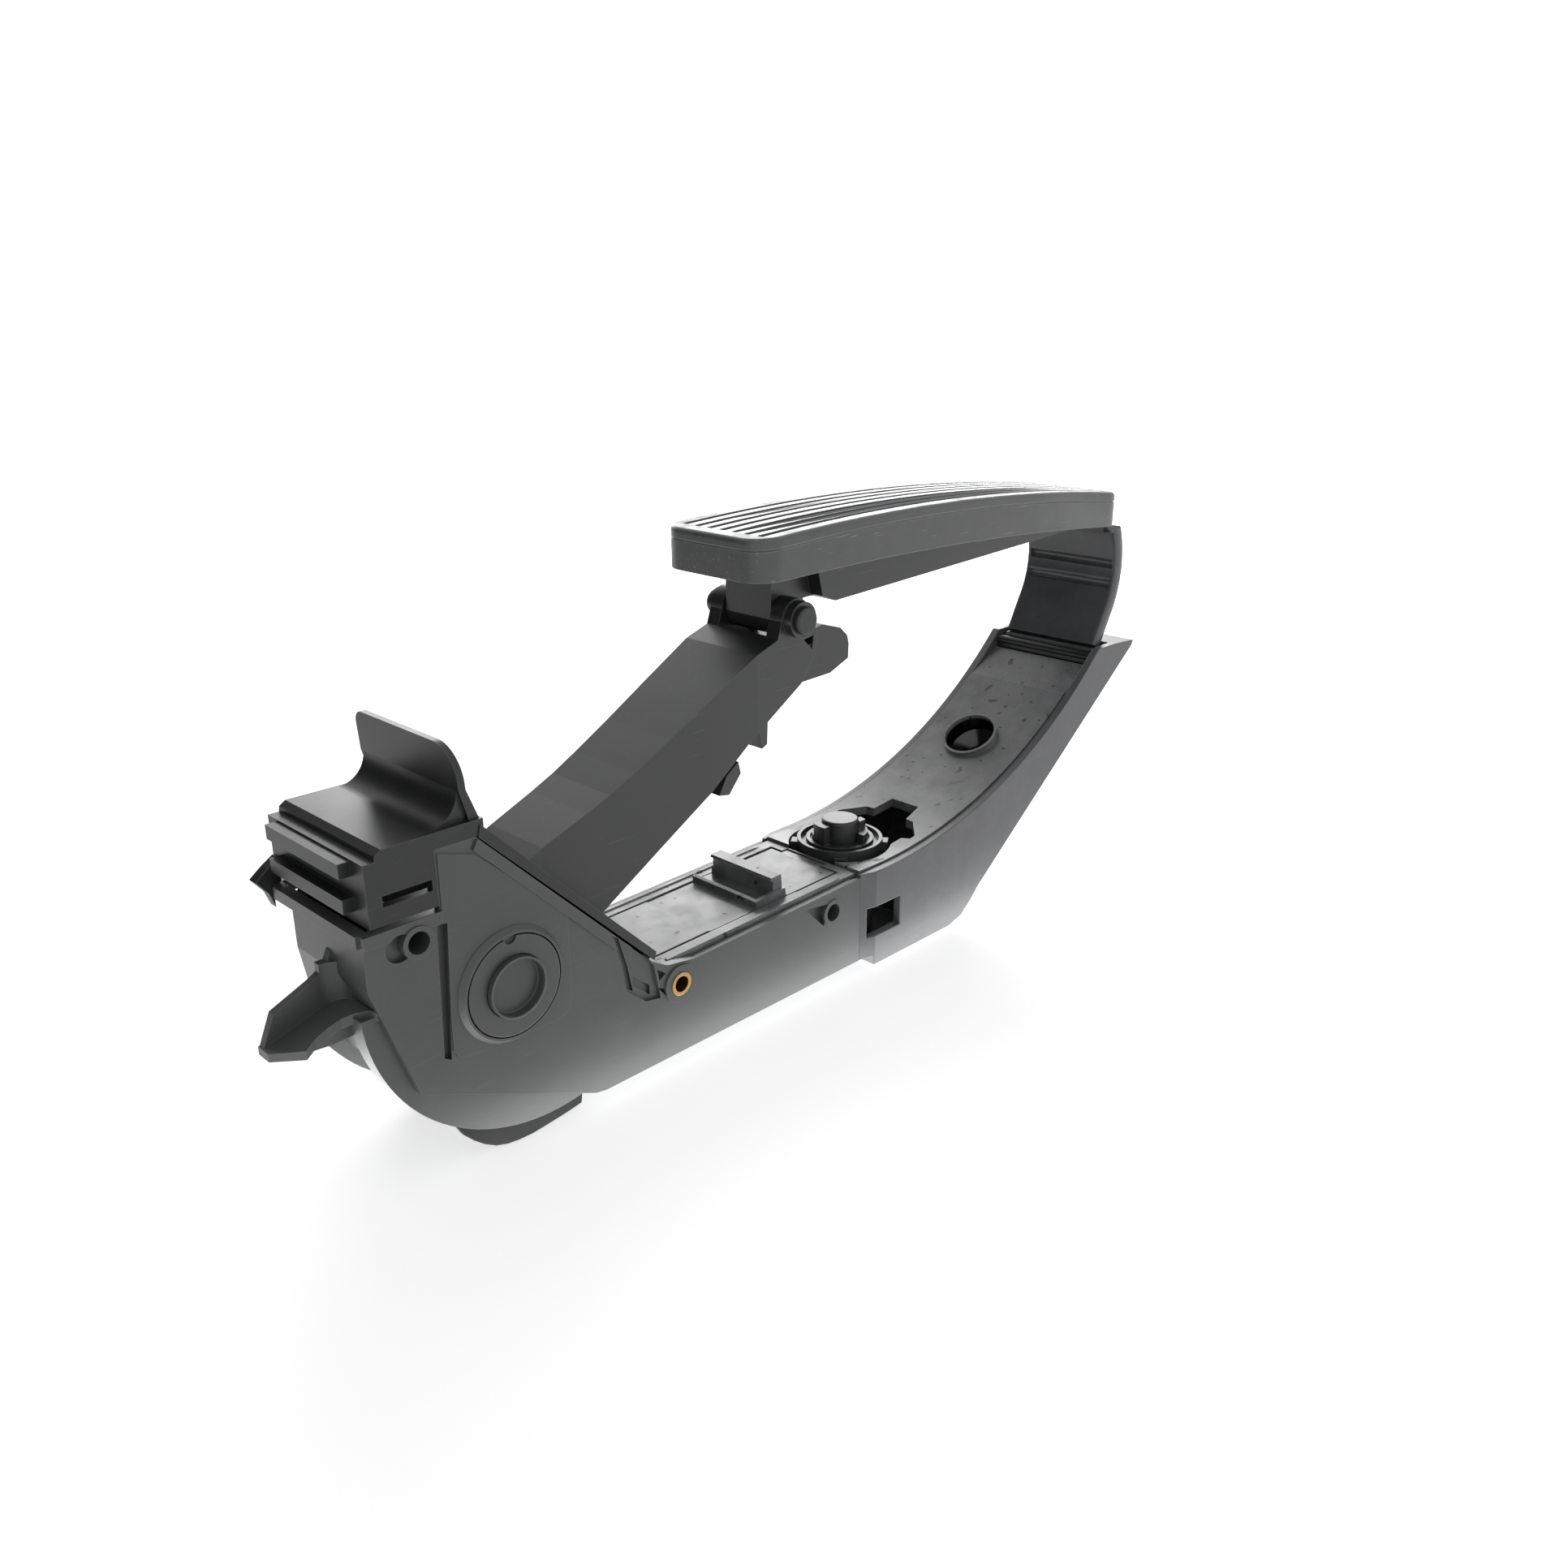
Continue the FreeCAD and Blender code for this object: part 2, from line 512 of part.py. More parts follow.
def deck_latch():
    """Tongue in the deck with the finger ridge across it and the trough in front of the ridge."""
    start, end = SEAM - 61.2, SEAM - 4.5
    tongue = slab([(start, deck_level_at(start) - 2.2), (start, deck_level_at(start) - 0.5),
                   (end, deck_level_at(end) - 0.3), (end, deck_level_at(end) - 2.2)], -14.7, 14.7)
    nose = block(end - 1, end + 2.5, -7.5, 9.8, DECK - 2.2, DECK - 0.4)
    ridge = slab([(SEAM - 32.4, DECK - 1.6), (SEAM - 32.4, DECK + 4.8), (SEAM - 33.6, DECK + 5.6),
                  (SEAM - 33.2, DECK + 6.4), (SEAM - 28.8, DECK + 6.6), (SEAM - 28.2, DECK - 1.2)], -13.6, 14.6)
    trough = slab([(SEAM - 40.8, DECK - 1.6), (SEAM - 41.2, DECK + 1.0), (SEAM - 40.2, DECK + 1.2),
                   (SEAM - 33.0, DECK + 2.0), (SEAM - 28.0, DECK + 1.8), (SEAM - 27.4, DECK - 1.2)], -14.6, 15.4)
    hollow = slab([(SEAM - 39.8, DECK - 1.0), (SEAM - 40.0, DECK + 3.0), (SEAM - 32.4, DECK + 3.0),
                   (SEAM - 32.4, DECK - 1.0)], -13.4, 15.5)
    return joined(cut(joined(tongue, nose, trough), hollow), ridge)


CUP_TILT = -31.0
CUP_X, CUP_Y = KICK_X + 77.0, as_size(1.4)
CUP_Z = curve_level(CUP_X) + 0.6


def dish(radius0, radius1, low, high):
    """Cone on the cup's tilted axis: radius0 at low, radius1 at high."""
    lean = math.radians(CUP_TILT)
    ring = turned(doc.addObject("Part::Cone", "Dish"), Vector(0, 1, 0), CUP_TILT)
    bind(ring, Radius1=radius0, Radius2=radius1, Height=high - low)
    return place(ring, CUP_X + low * math.sin(lean), CUP_Y, CUP_Z + low * math.cos(lean))


def heel_cover():
    """Concave cover with the round hole, the keyed opening, the cup and the strap recess."""
    rise = 0.6
    shell = cut(rod(CURVE + 2.4, CURVE_X, CURVE_Z, -HEEL_INSIDE + GAP, HEEL_INSIDE - GAP),
                rod(CURVE - rise, CURVE_X, CURVE_Z, -HEEL, HEEL))
    shell = common(shell, block(SEAM + GAP, TIP - 43.5, -HEEL, HEEL, 0, HEEL_Z + 20))
    ramp = slab([(TIP - 44.7, RAMP_Z - 3.0), (TIP - 44.7, RAMP_Z + 0.6), (TIP - 28.0, HEEL_Z - 6.6),
                 (TIP - 28.0, HEEL_Z - 8.6), (TIP - 42.0, RAMP_Z - 1.8)], -HEEL_INSIDE + GAP, HEEL_INSIDE - GAP)
    cup = joined(dish(9.8, 10.7, -4.6, 2.6), dish(5.2, 9.8, -10.0, -4.6))
    cup_room = joined(dish(8.9, 9.7, -4.2, 2.7), dish(4.6, 8.9, -9.0, -4.2))
    keyed = plate([
        (KICK_X + 9, -15.0), (KICK_X + 15.5, -15.0), (KICK_X + 17, -17.9), (KICK_X + 19.6, -17.9),
        (KICK_X + 27, -11.0), (KICK_X + 27.3, -7.6), (KICK_X + 36, -6.2), (KICK_X + 36, 6.2),
        (KICK_X + 27.3, 7.6), (KICK_X + 27, 11.0), (KICK_X + 19.6, 17.9), (KICK_X + 17, 17.9),
        (KICK_X + 15.5, 15.0), (KICK_X + 9, 15.0)], 0, DECK + 45)
    flap = cut(joined(shell, ramp, cup), cup_room)
    return cut(flap, post(18.0, KICK_X, 0, 0, DECK + 45), keyed)


def strap_clamp():
    bead = rod(1.7, FOOT_X - 4.9, FOOT_Z - 2.6, -HEEL_INSIDE + GAP, HEEL_INSIDE - GAP)
    bar = slab([(FOOT_X - 5.6, FOOT_Z - 9.9), (FOOT_X - 3.3, FOOT_Z - 9.9), (FOOT_X - 3.3, FOOT_Z - 2.6),
                (FOOT_X - 6.2, FOOT_Z - 2.6)], -HEEL_INSIDE + 1, HEEL_INSIDE - 1)
    return joined(bead, bar)


def strap_root():
    """Foot of the strap, hooked into the heel slot."""
    half = STRAP_T / 2.0
    return slab([(FOOT_X - half, FOOT_Z - 9.9), (FOOT_X + half, FOOT_Z - 9.9), (FOOT_X + half, FOOT_Z - 1.2),
                 (FOOT_X + half + 0.6, FOOT_Z), (FOOT_X - half + 0.7, FOOT_Z), (FOOT_X - half, FOOT_Z - 1.0)],
                -STRAP_HALF, STRAP_HALF)


# Fixed pieces: bearing, cap, sensor, connector

def cap_ring():
    """Closing ring of the shaft's bearing, with a notch in its edge."""
    ring = rod(CAP_R, PIVOT_X, PIVOT_Z, -HOUSING - 2.1, -HOUSING + 0.4)
    notch = rod(1.9, PIVOT_X - 0.6, PIVOT_Z + CAP_R + 0.1, -40, -HOUSING - 1.0)
    return cut(ring, rod(8.7, PIVOT_X, PIVOT_Z, -40, 0), notch)


def cap_disc():
    """Plug in the ring: a shallow cup that stands proud of the ring's face."""
    face, radius = -HOUSING - 3.8, 8.6
    plug = rod(radius, PIVOT_X, PIVOT_Z, face, -HOUSING + 0.1)
    cup = cone(radius - 0.6, radius - 0.9, PIVOT_X, PIVOT_Z, face - 0.1, face + 2.6)
    return cut(plug, cup)


def bearing(y0, y1):
    return cut(rod(7.45, PIVOT_X, PIVOT_Z, y0, y1), rod(SHAFT_R + 0.06, PIVOT_X, PIVOT_Z, -40, 40))


def bolt_bush():
    sleeve = rod(3.65, PIVOT_X + 57.7, DECK - 8.6, -HOUSING - 0.9, -11.2)
    bore = rod(2.5, PIVOT_X + 57.7, DECK - 8.6, -40, 0)
    return cut(sleeve, bore)


def coil(radius, wire, pitch, turns, runs=14):
    """Wire wound round Z from the origin up, in short straight runs, with a hexagonal section."""
    path = []
    for step in range(int(runs * turns) + 1):
        angle = 2 * math.pi * step / runs
        path.append(Vector(radius * math.cos(angle), radius * math.sin(angle), pitch * step / runs))
    first_run = path[1] - path[0]
    section = []
    for corner in range(7):
        angle = math.pi * corner / 3
        section.append(Vector(wire * math.cos(angle), wire * math.sin(angle), 0))
    hexagon = Part.makePolygon(section)
    hexagon.Placement = FreeCAD.Placement(path[0], FreeCAD.Rotation(Vector(0, 0, 1), first_run))
    spring = doc.addObject("Part::Feature", "Spring")
    right_corner = 1
    spring.Shape = Part.makePolygon(path).makePipeShell([hexagon], True, False, right_corner)
    return spring


def return_spring(y0):
    """Wound round the spool of the hub."""
    spring = turned(coil(10.6, WIRE_R.number, 2.35, 3.0), *ALONG_Y)
    return place(spring, PIVOT_X, y0, PIVOT_Z)


def friction_shoe():
    """Curved shoe against the hub drum, on its seat in the pan."""
    ring = cut(rod(HUB_R + 4.2, PIVOT_X, PIVOT_Z, -5.0, 5.0), rod(HUB_R + 0.35, PIVOT_X, PIVOT_Z, -8, 8))
    wedge = slab([(PIVOT_X, PIVOT_Z), (PIVOT_X - 33, PIVOT_Z - 9), (PIVOT_X - 31, PIVOT_Z - 33),
                  (PIVOT_X - 10, PIVOT_Z - 33)], -8, 8)
    return common(ring, wedge)


WAY_START, WAY_STEP = PIVOT_Z - 3.1, 3.2
SHROUD_X = as_size(20.0)


def sensor_cover():
    """Cover of the circuit board on the far wall, with the connector shroud."""
    outline_points = [(9.0, PIVOT_Z + 15.2), (9.0, PIVOT_Z + 5), (14.5, PIVOT_Z - 7),
                      (21.0, PIVOT_Z - 22), (PIVOT_X + 20, PIVOT_Z - 22), (PIVOT_X + 20, PIVOT_Z + 9.5),
                      (PIVOT_X + 7.5, PIVOT_Z + 21.8), (22.4, PIVOT_Z + 21.8), (20.4, PIVOT_Z + 15.2)]
    room_points = [(11.0, PIVOT_Z + 13.2), (11.0, PIVOT_Z + 5.5), (16.4, PIVOT_Z - 6), (22.4, PIVOT_Z - 20),
                   (PIVOT_X + 18, PIVOT_Z - 20), (PIVOT_X + 18, PIVOT_Z + 8.6), (PIVOT_X + 6.6, PIVOT_Z + 19.8),
                   (24.0, PIVOT_Z + 19.8), (22.0, PIVOT_Z + 13.2)]
    shell = cut(slab(outline_points, HOUSING, HOUSING + 6), slab(room_points, HOUSING - 1, HOUSING + 4.3))
    shroud = block(SHROUD_X, SHROUD_X + 29.5, HOUSING + 5, HOUSING + 14.3, PIVOT_Z - 7.5, PIVOT_Z + 18.5)
    mouth = block(SHROUD_X - 5, SHROUD_X + 18, HOUSING + 6.2, HOUSING + 12.4, PIVOT_Z - 5.3, PIVOT_Z + 16.3)
    pin_room = block(SHROUD_X + 25, SHROUD_X + 27.9, HOUSING, HOUSING + 12.4, PIVOT_Z - 4, PIVOT_Z + 15)
    ways = [block(SHROUD_X + 17, SHROUD_X + 26, HOUSING + 8.6, HOUSING + 9.9, WAY_START + WAY_STEP * number,
                  WAY_START + 1.3 + WAY_STEP * number) for number in range(6)]
    catch = slab([(SHROUD_X + 5.5, PIVOT_Z + 18.4), (SHROUD_X + 9.5, PIVOT_Z + 20.6),
                  (SHROUD_X + 15.5, PIVOT_Z + 20.6), (SHROUD_X + 15.5, PIVOT_Z + 18.4)],
                 HOUSING + 6.5, HOUSING + 11)
    return cut(joined(shell, shroud, catch), mouth, pin_room, *ways)


def connector_pins():
    """Six blades: each runs from the shroud's mouth through its wall, then down to the board."""
    blades = []
    for number in range(6):
        z0 = WAY_START + 0.35 + WAY_STEP * number
        blades.append(block(SHROUD_X + 5, SHROUD_X + 27.1, HOUSING + 8.9, HOUSING + 9.6, z0, z0 + 0.6))
        blades.append(block(SHROUD_X + 26.5, SHROUD_X + 27.1, HOUSING + 2.5, HOUSING + 9.6, z0, z0 + 0.6))
    return joined(*blades)


def sensor_board():
    return slab([(13.5, PIVOT_Z + 12.6), (13.5, PIVOT_Z + 6), (18.4, PIVOT_Z - 5), (24.0, PIVOT_Z - 18),
                 (PIVOT_X + 16.5, PIVOT_Z - 18), (PIVOT_X + 16.5, PIVOT_Z + 7.5), (PIVOT_X + 8, PIVOT_Z + 16),
                 (26.0, PIVOT_Z + 16), (24.0, PIVOT_Z + 12.6)], HOUSING + 0.9, HOUSING + 2.5)


def hall_chip(along):
    return block(PIVOT_X + along, PIVOT_X + along + 5, HOUSING + 2.5, HOUSING + 4.0,
                 PIVOT_Z - 2.5, PIVOT_Z + 2.5)


def end_latch():
    """Pointed catch at the far front corner."""
    return slab([(-4.6, PIVOT_Z + 29.2), (-1.0, PIVOT_Z + 32.0), (2.4, PIVOT_Z + 34.2), (2.4, PIVOT_Z + 27.3),
                 (0.1, PIVOT_Z + 27.3), (0.1, PIVOT_Z + 20.8), (-1.4, PIVOT_Z + 25.0)], 19.8, 23.2)


def pan_lip(y0):
    """Thin curved blade that hangs under a curved rail."""
    blade = slab([(20.8, 14.6), (24.0, 8.6), (27.1, 5.2), (30.2, 2.5), (33.5, 0.4), (37.2, -0.9),
                  (41.0, -1.4), (45.5, -1.6), (52.0, -1.1), (58.0, -0.5), (62.6, 0.2), (63.0, 2.9),
                  (60.0, 5.4), (40.0, 12.0)], y0, y0 + 1.8)
    inside = rod(PAN_R + 0.02, PAN_X, PAN_Z, -40, 40)
    plates_above = slab([(PIVOT_X - 28.5, PIVOT_Z - 20.5), (PIVOT_X + 25.2, 3.98),
                         (PIVOT_X + 40, 3.28), (PIVOT_X + 40, 60), (-10, 60)], -40, 40)
    return cut(blade, inside, plates_above)


# Kickdown element

RING_R = as_size(15.0)


def kickdown_ring():
    """Bayonet ring with a raised inner rim and four lugs."""
    ring = cut(post(RING_R, KICK_X, 0, DECK - 4.6, DECK + 3.0), post(10.4, KICK_X, 0, 0, DECK + 9))
    step = cut(post(RING_R - 1.3, KICK_X, 0, DECK + 1.5, DECK + 4),
               post(RING_R - 3.2, KICK_X, 0, 0, DECK + 9))
    tabs = []
    for angle in (35, 125, 215, 305):
        tab = turned(doc.addObject("Part::Box", "Tab"), Vector(0, 0, 1), angle)
        bind(tab, Length=RING_R + 1.8, Width=4.4, Height=3.2)
        place(tab, KICK_X, 0, DECK - 1.6)
        tabs.append(cut(tab, post(RING_R - 1.0, KICK_X, 0, 0, DECK + 9)))
    return cut(joined(ring, *tabs), step)


def kickdown_sleeve():
    """Guide of the plunger with its two hooks."""
    collar = cut(post(10.2, KICK_X, 0, DECK - 4.6, DECK + 2.4), post(KICK_R + 0.5, KICK_X, 0, 0, DECK + 9))
    drum = cut(post(9.8, KICK_X, 0, DECK + 2, DECK + 9.2), post(KICK_R + 0.5, KICK_X, 0, 0, DECK + 12))
    left = joined(block(KICK_X - 12, KICK_X - 4.5, -1.6, 4.6, DECK, DECK + 9.0),
                  block(KICK_X - 12, KICK_X - 4.5, -1.6, 7.4, DECK, DECK + 4.6))
    right = joined(block(KICK_X + 1.4, KICK_X + 12, -12, -1.0, DECK, DECK + 5.4),
                   block(KICK_X + 4.2, KICK_X + 12, -4.2, -1.0, DECK, DECK + 7.8))
    return joined(collar, common(drum, joined(left, right)))


def kickdown_plunger():
    stem = post(KICK_R, KICK_X, 0, DECK - 7.0, KICK_Z - 0.5)
    crown = doc.addObject("Part::Cone", "Crown")
    bind(crown, Radius1=KICK_R, Radius2=KICK_R - 0.5, Height=0.5)
    place(crown, KICK_X, 0, KICK_Z - 0.5)
    return cut(joined(stem, crown), post(KICK_R - 1.6, KICK_X, 0, 0, KICK_Z - 2.6))


def kickdown_spring():
    return place(coil(4.6, 0.6, 3.53, 6.0), KICK_X, 0, DECK - 29.1)


# Lever

def lever_arm():
    """Arm with its hub, open underneath with ribs, forked at the tip, and the stop nose."""
    arm = slab([
        (PIVOT_X + 4, PIVOT_Z + 14), (PIVOT_X + 12, PIVOT_Z + 24.6), (PIVOT_X + 20.2, PIVOT_Z + 28.5),
        (PIVOT_X + 35.0, PIVOT_Z + 34.3), (PIVOT_X + 43.0, PIVOT_Z + 37.7), (PIN_X - 63.0, PIN_Z - 33.6),
        (PIN_X - 50.0, PIN_Z - 26.7), (PIN_X - 37.6, PIN_Z - 19.8),
        (PIN_X - 16.6, PIN_Z - 8.3), (PIN_X - 7.1, PIN_Z - 5.0), (PIN_X - 6.0, PIN_Z - 12.0),
        (PIN_X + 5.4, PIN_Z - 13.5), (PIN_X + 2.4, PIN_Z - 20.8), (PIN_X - 18.6, PIN_Z - 33.8),
        (PIN_X - 34.8, PIN_Z - 46.6), (PIVOT_X + 59.7, PIVOT_Z + 16.5), (PIVOT_X + 42.2, PIVOT_Z + 5.5),
        (PIVOT_X + 24, PIVOT_Z - 6.5), (PIVOT_X + 14, PIVOT_Z - 10.5), (PIVOT_X + 13.6, PIVOT_Z - 3)],
        -24.0, 24.0)
    taper = plate([(0, -ROOT_HALF), (PIVOT_X + 20, -ROOT_HALF), (PIN_X - 16.6, -TIP_HALF),
                   (PIN_X + 30, -TIP_HALF), (PIN_X + 30, TIP_HALF), (PIN_X - 16.6, TIP_HALF),
                   (PIVOT_X + 20, ROOT_HALF), (0, ROOT_HALF)], 20, 140)
    arm = common(arm, taper)
    room = slab([
        (PIVOT_X + 27, PIVOT_Z + 28), (PIVOT_X + 40.3, PIVOT_Z + 33.2), (PIN_X - 55.3, PIN_Z - 33.2),
        (PIN_X - 36.2, PIN_Z - 22.6), (PIN_X - 16.6, PIN_Z - 11.6), (PIN_X - 12.6, PIN_Z - 11.4),
        (PIN_X - 9.4, PIN_Z - 32), (PIN_X - 34, PIN_Z - 56), (PIVOT_X + 44, PIVOT_Z - 2),
        (PIVOT_X + 26, PIVOT_Z - 12)], -24.0, 24.0)
    room_taper = plate([(0, -ROOT_HALF + WALL), (PIVOT_X + 20, -ROOT_HALF + WALL),
                        (PIN_X - 16.6, -TIP_HALF + WALL), (PIN_X + 30, -TIP_HALF + WALL),
                        (PIN_X + 30, TIP_HALF - WALL),
                        (PIN_X - 16.6, TIP_HALF - WALL), (PIVOT_X + 20, ROOT_HALF - WALL), (0, ROOT_HALF - WALL)],
                       10, 140)
    channel = cut(arm, common(room, room_taper))
    web = slab([(PIN_X - 6.0, PIN_Z - 12.0), (PIN_X + 9.0, PIN_Z - 8.8), (PIN_X + 9.0, PIN_Z - 10.8),
                (PIN_X - 6.0, PIN_Z - 14.0)], -TIP_HALF + 0.6, TIP_HALF - 0.6)
    ribs = [web,
            block(PIVOT_X + 46, PIVOT_X + 48, -ROOT_HALF, ROOT_HALF, PIVOT_Z + 11.5, PIVOT_Z + 37),
            block(PIN_X - 40, PIN_X - 38, -ROOT_HALF - 1, ROOT_HALF + 1, PIN_Z - 47, PIN_Z - 23)]
    hub = joined(rod(HUB_R, PIVOT_X, PIVOT_Z, -7.0, 7.0), rod(7.8, PIVOT_X, PIVOT_Z, -16.5, 16.5))
    neck = slab([(PIVOT_X - 2, PIVOT_Z + 8), (PIVOT_X + 4, PIVOT_Z + 14), (PIVOT_X + 30, PIVOT_Z + 31),
                 (PIVOT_X + 36, PIVOT_Z + 4), (PIVOT_X + 14, PIVOT_Z - 10.5),
                 (PIVOT_X + 4, PIVOT_Z - 8)], -7.0, 7.0)
    nose = slab([
        (PIN_X + 3.0, PIN_Z - 12.5), (PIN_X + 12.0, PIN_Z - 10.6), (PIN_X + 24.4, PIN_Z - 7.9),
        (PIN_X + 33.2, PIN_Z - 10.5), (PIN_X + 36.6, PIN_Z - 13.6), (PIN_X + 37.4, PIN_Z - 16.5),
        (PIN_X + 37.2, PIN_Z - 21.4), (PIN_X + 28.4, PIN_Z - 24.8), (PIN_X + 13.8, PIN_Z - 25.3),
        (PIN_X + 2.0, PIN_Z - 21.0), (PIN_X - 6.0, PIN_Z - 25.8), (PIN_X - 6.0, PIN_Z - 14.0)], -4.0, 4.0)
    tab = slab([(PIN_X - 15.0, PIN_Z - 31.0), (PIN_X - 13.2, PIN_Z - 38.6), (PIN_X - 11.0, PIN_Z - 37.6),
                (PIN_X - 10.6, PIN_Z - 28.6)], -14.0, -8.0)
    solid = joined(channel, *ribs, hub, neck, nose, tab, *fork_ears())
    spool_room = [cut(rod(12.8, PIVOT_X, PIVOT_Z, low, high), rod(7.8, PIVOT_X, PIVOT_Z, -30, 30))
                  for low, high in ((-17.0, -7.0), (7.0, 17.0))]
    return cut(solid, rod(SHAFT_R, PIVOT_X, PIVOT_Z, -30, 30), rod(PIN_R, PIN_X, PIN_Z, -30, 30),
               *spool_room)


NEAR_BOSS, FAR_BOSS = -TIP_HALF - 3.1, TIP_HALF + 1.0


def fork_ears():
    """Two ears round the hinge pin, each with a boss outside and a rib down the arm."""
    ears = []
    profile = [(PIN_X - 6.0, PIN_Z - 12.0), (PIN_X - 8.2, PIN_Z - 6.2), (PIN_X - 6.0, PIN_Z + 0.5),
               (PIN_X - 4.4, PIN_Z + 3.9), (PIN_X + 4.2, PIN_Z + 4.0), (PIN_X + 5.9, PIN_Z),
               (PIN_X + 9.6, PIN_Z - 5.4), (PIN_X + 8.6, PIN_Z - 12.6), (PIN_X + 2.4, PIN_Z - 20.8),
               (PIN_X - 6.0, PIN_Z - 24.0)]
    window = slab([(PIN_X + 3.4, PIN_Z - 7.2), (PIN_X + 7.8, PIN_Z - 6.4), (PIN_X + 7.2, PIN_Z - 10.8)],
                  -30, 30)
    for sign in (-1.0, 1.0):
        inner, outer = (TIP_HALF - 5.2) * sign, TIP_HALF * sign
        low, high = (outer, inner) if sign < 0 else (inner, outer)
        lug = cut(joined(slab(profile, low, high), rod(6.2, PIN_X, PIN_Z, low, high)), window)
        boss_low, boss_high = (NEAR_BOSS, outer + 1) if sign < 0 else (outer - 1, FAR_BOSS)
        ears.append(joined(lug, rod(5.6, PIN_X, PIN_Z, boss_low, boss_high)))
    return ears


def lever_shaft():
    return rod(SHAFT_R, PIVOT_X, PIVOT_Z, -22.3, 20.0)


def magnet():
    return rod(4.0, PIVOT_X, PIVOT_Z, 20.0, 22.6)


def lever_clip():
    hook = slab([(PIN_X - 28.6, PIN_Z - 50.6), (PIN_X - 24.4, PIN_Z - 51.4), (PIN_X - 19.4, PIN_Z - 45.6),
                 (PIN_X - 20.4, PIN_Z - 41.6), (PIN_X - 25.4, PIN_Z - 45.0)], -11.0, -5.0)
    stem = slab([(PIN_X - 26.6, PIN_Z - 46.6), (PIN_X - 23.8, PIN_Z - 46.6), (PIN_X - 23.8, PIN_Z - 16.0),
                 (PIN_X - 26.6, PIN_Z - 17.6)], -9.0, -7.0)
    return joined(hook, stem)


def hinge_pin():
    """Pin with a domed head on the near side."""
    shank = rod(PIN_R, PIN_X, PIN_Z, NEAR_BOSS - 0.2, FAR_BOSS + 2.8)
    head = joined(rod(4.3, PIN_X, PIN_Z, NEAR_BOSS - 1.4, NEAR_BOSS),
                  cone(3.8, 4.3, PIN_X, PIN_Z, NEAR_BOSS - 1.9, NEAR_BOSS - 1.4))
    tail = rod(3.9, PIN_X, PIN_Z, FAR_BOSS + 1.2, FAR_BOSS + 3.4)
    return joined(shank, head, tail)


def pin_washer():
    return cut(rod(5.2, PIN_X, PIN_Z, FAR_BOSS, FAR_BOSS + 1.2), rod(PIN_R, PIN_X, PIN_Z, 0, 60))


# Pedal: plate, pad and strap

def bow(radius, along, level, y0, y1):
    """Upper part of a very large cylinder: the slight bow of the pedal along its length."""
    return rod(radius, along, level - radius, y0, y1)


def rounded_plan(inset, front_corner, rear_corner):
    """Plan of the pedal: a rectangle with round corners, as a tall block."""
    tall = block(PAD_X + inset, PAD_END - inset, -PAD_HALF + inset, PAD_HALF - inset,
                 PAD_Z - 14, PAD_Z + 20)
    middle = (PAD_X.number + PAD_END.number) / 2
    front = rounded(tall, front_corner, lambda edge: edge.BoundBox.ZLength > 20
                    and edge.BoundBox.XMax < middle)
    return rounded(front, rear_corner, lambda edge: edge.BoundBox.ZLength > 20
                   and edge.BoundBox.XMin > middle and edge.BoundBox.XLength < 0.1
                   and edge.BoundBox.YLength < 0.1)


CROWN_R, UNDER_R = of("pad_crown_radius"), of("pad_under_radius")
CROWN_X, UNDER_X = PAD_X + 66.5, PAD_X + 51.5
CROWN_Z, UNDER_Z = PAD_Z + PAD_DEEP + 0.9, PAD_Z + 0.4
FRONT_CORNER, REAR_CORNER = 9.0, 14.0


def pad_bow(drop, margin=0.0):
    """The pad's bowed crown, or the same surface lower by drop."""
    return bow(CROWN_R - drop, CROWN_X, CROWN_Z - drop, -PAD_HALF - margin, PAD_HALF + margin)


def rubber_pad():
    """Tread that wraps the plate: bowed top with seven grooves, skirt all round."""
    under = bow(UNDER_R, UNDER_X, UNDER_Z, -PAD_HALF - 1, PAD_HALF + 1)
    body = cut(common(rounded_plan(0.0, FRONT_CORNER, REAR_CORNER), pad_bow(0.0)), under)
    body = rounded(body, 1.6, lambda edge: edge.BoundBox.ZMin > PAD_Z.number + 3 and edge.BoundBox.ZLength < 13
                   and edge.Length > 8)
    rim_line = cut(cut(pad_bow(3.2, 1.0), pad_bow(3.6, 2.0)), rounded_plan(0.3, FRONT_CORNER, REAR_CORNER))
    room = common(rounded_plan(2.6, FRONT_CORNER - 2.5, REAR_CORNER - 2.5), pad_bow(5.0))
    pitch = (PAD_HALF - 3.4) / 3.5
    half = of("groove_width") / 2.0
    grooves = []
    for number in range(7):
        middle = pitch * (number - 3.0)
        grooves.append(block(PAD_X + 5.5, PAD_END - 7, middle - half, middle + half,
                             PAD_Z - 10, PAD_Z + 30))
    return cut(body, room, rim_line, cut(joined(*grooves), pad_bow(1.7)))


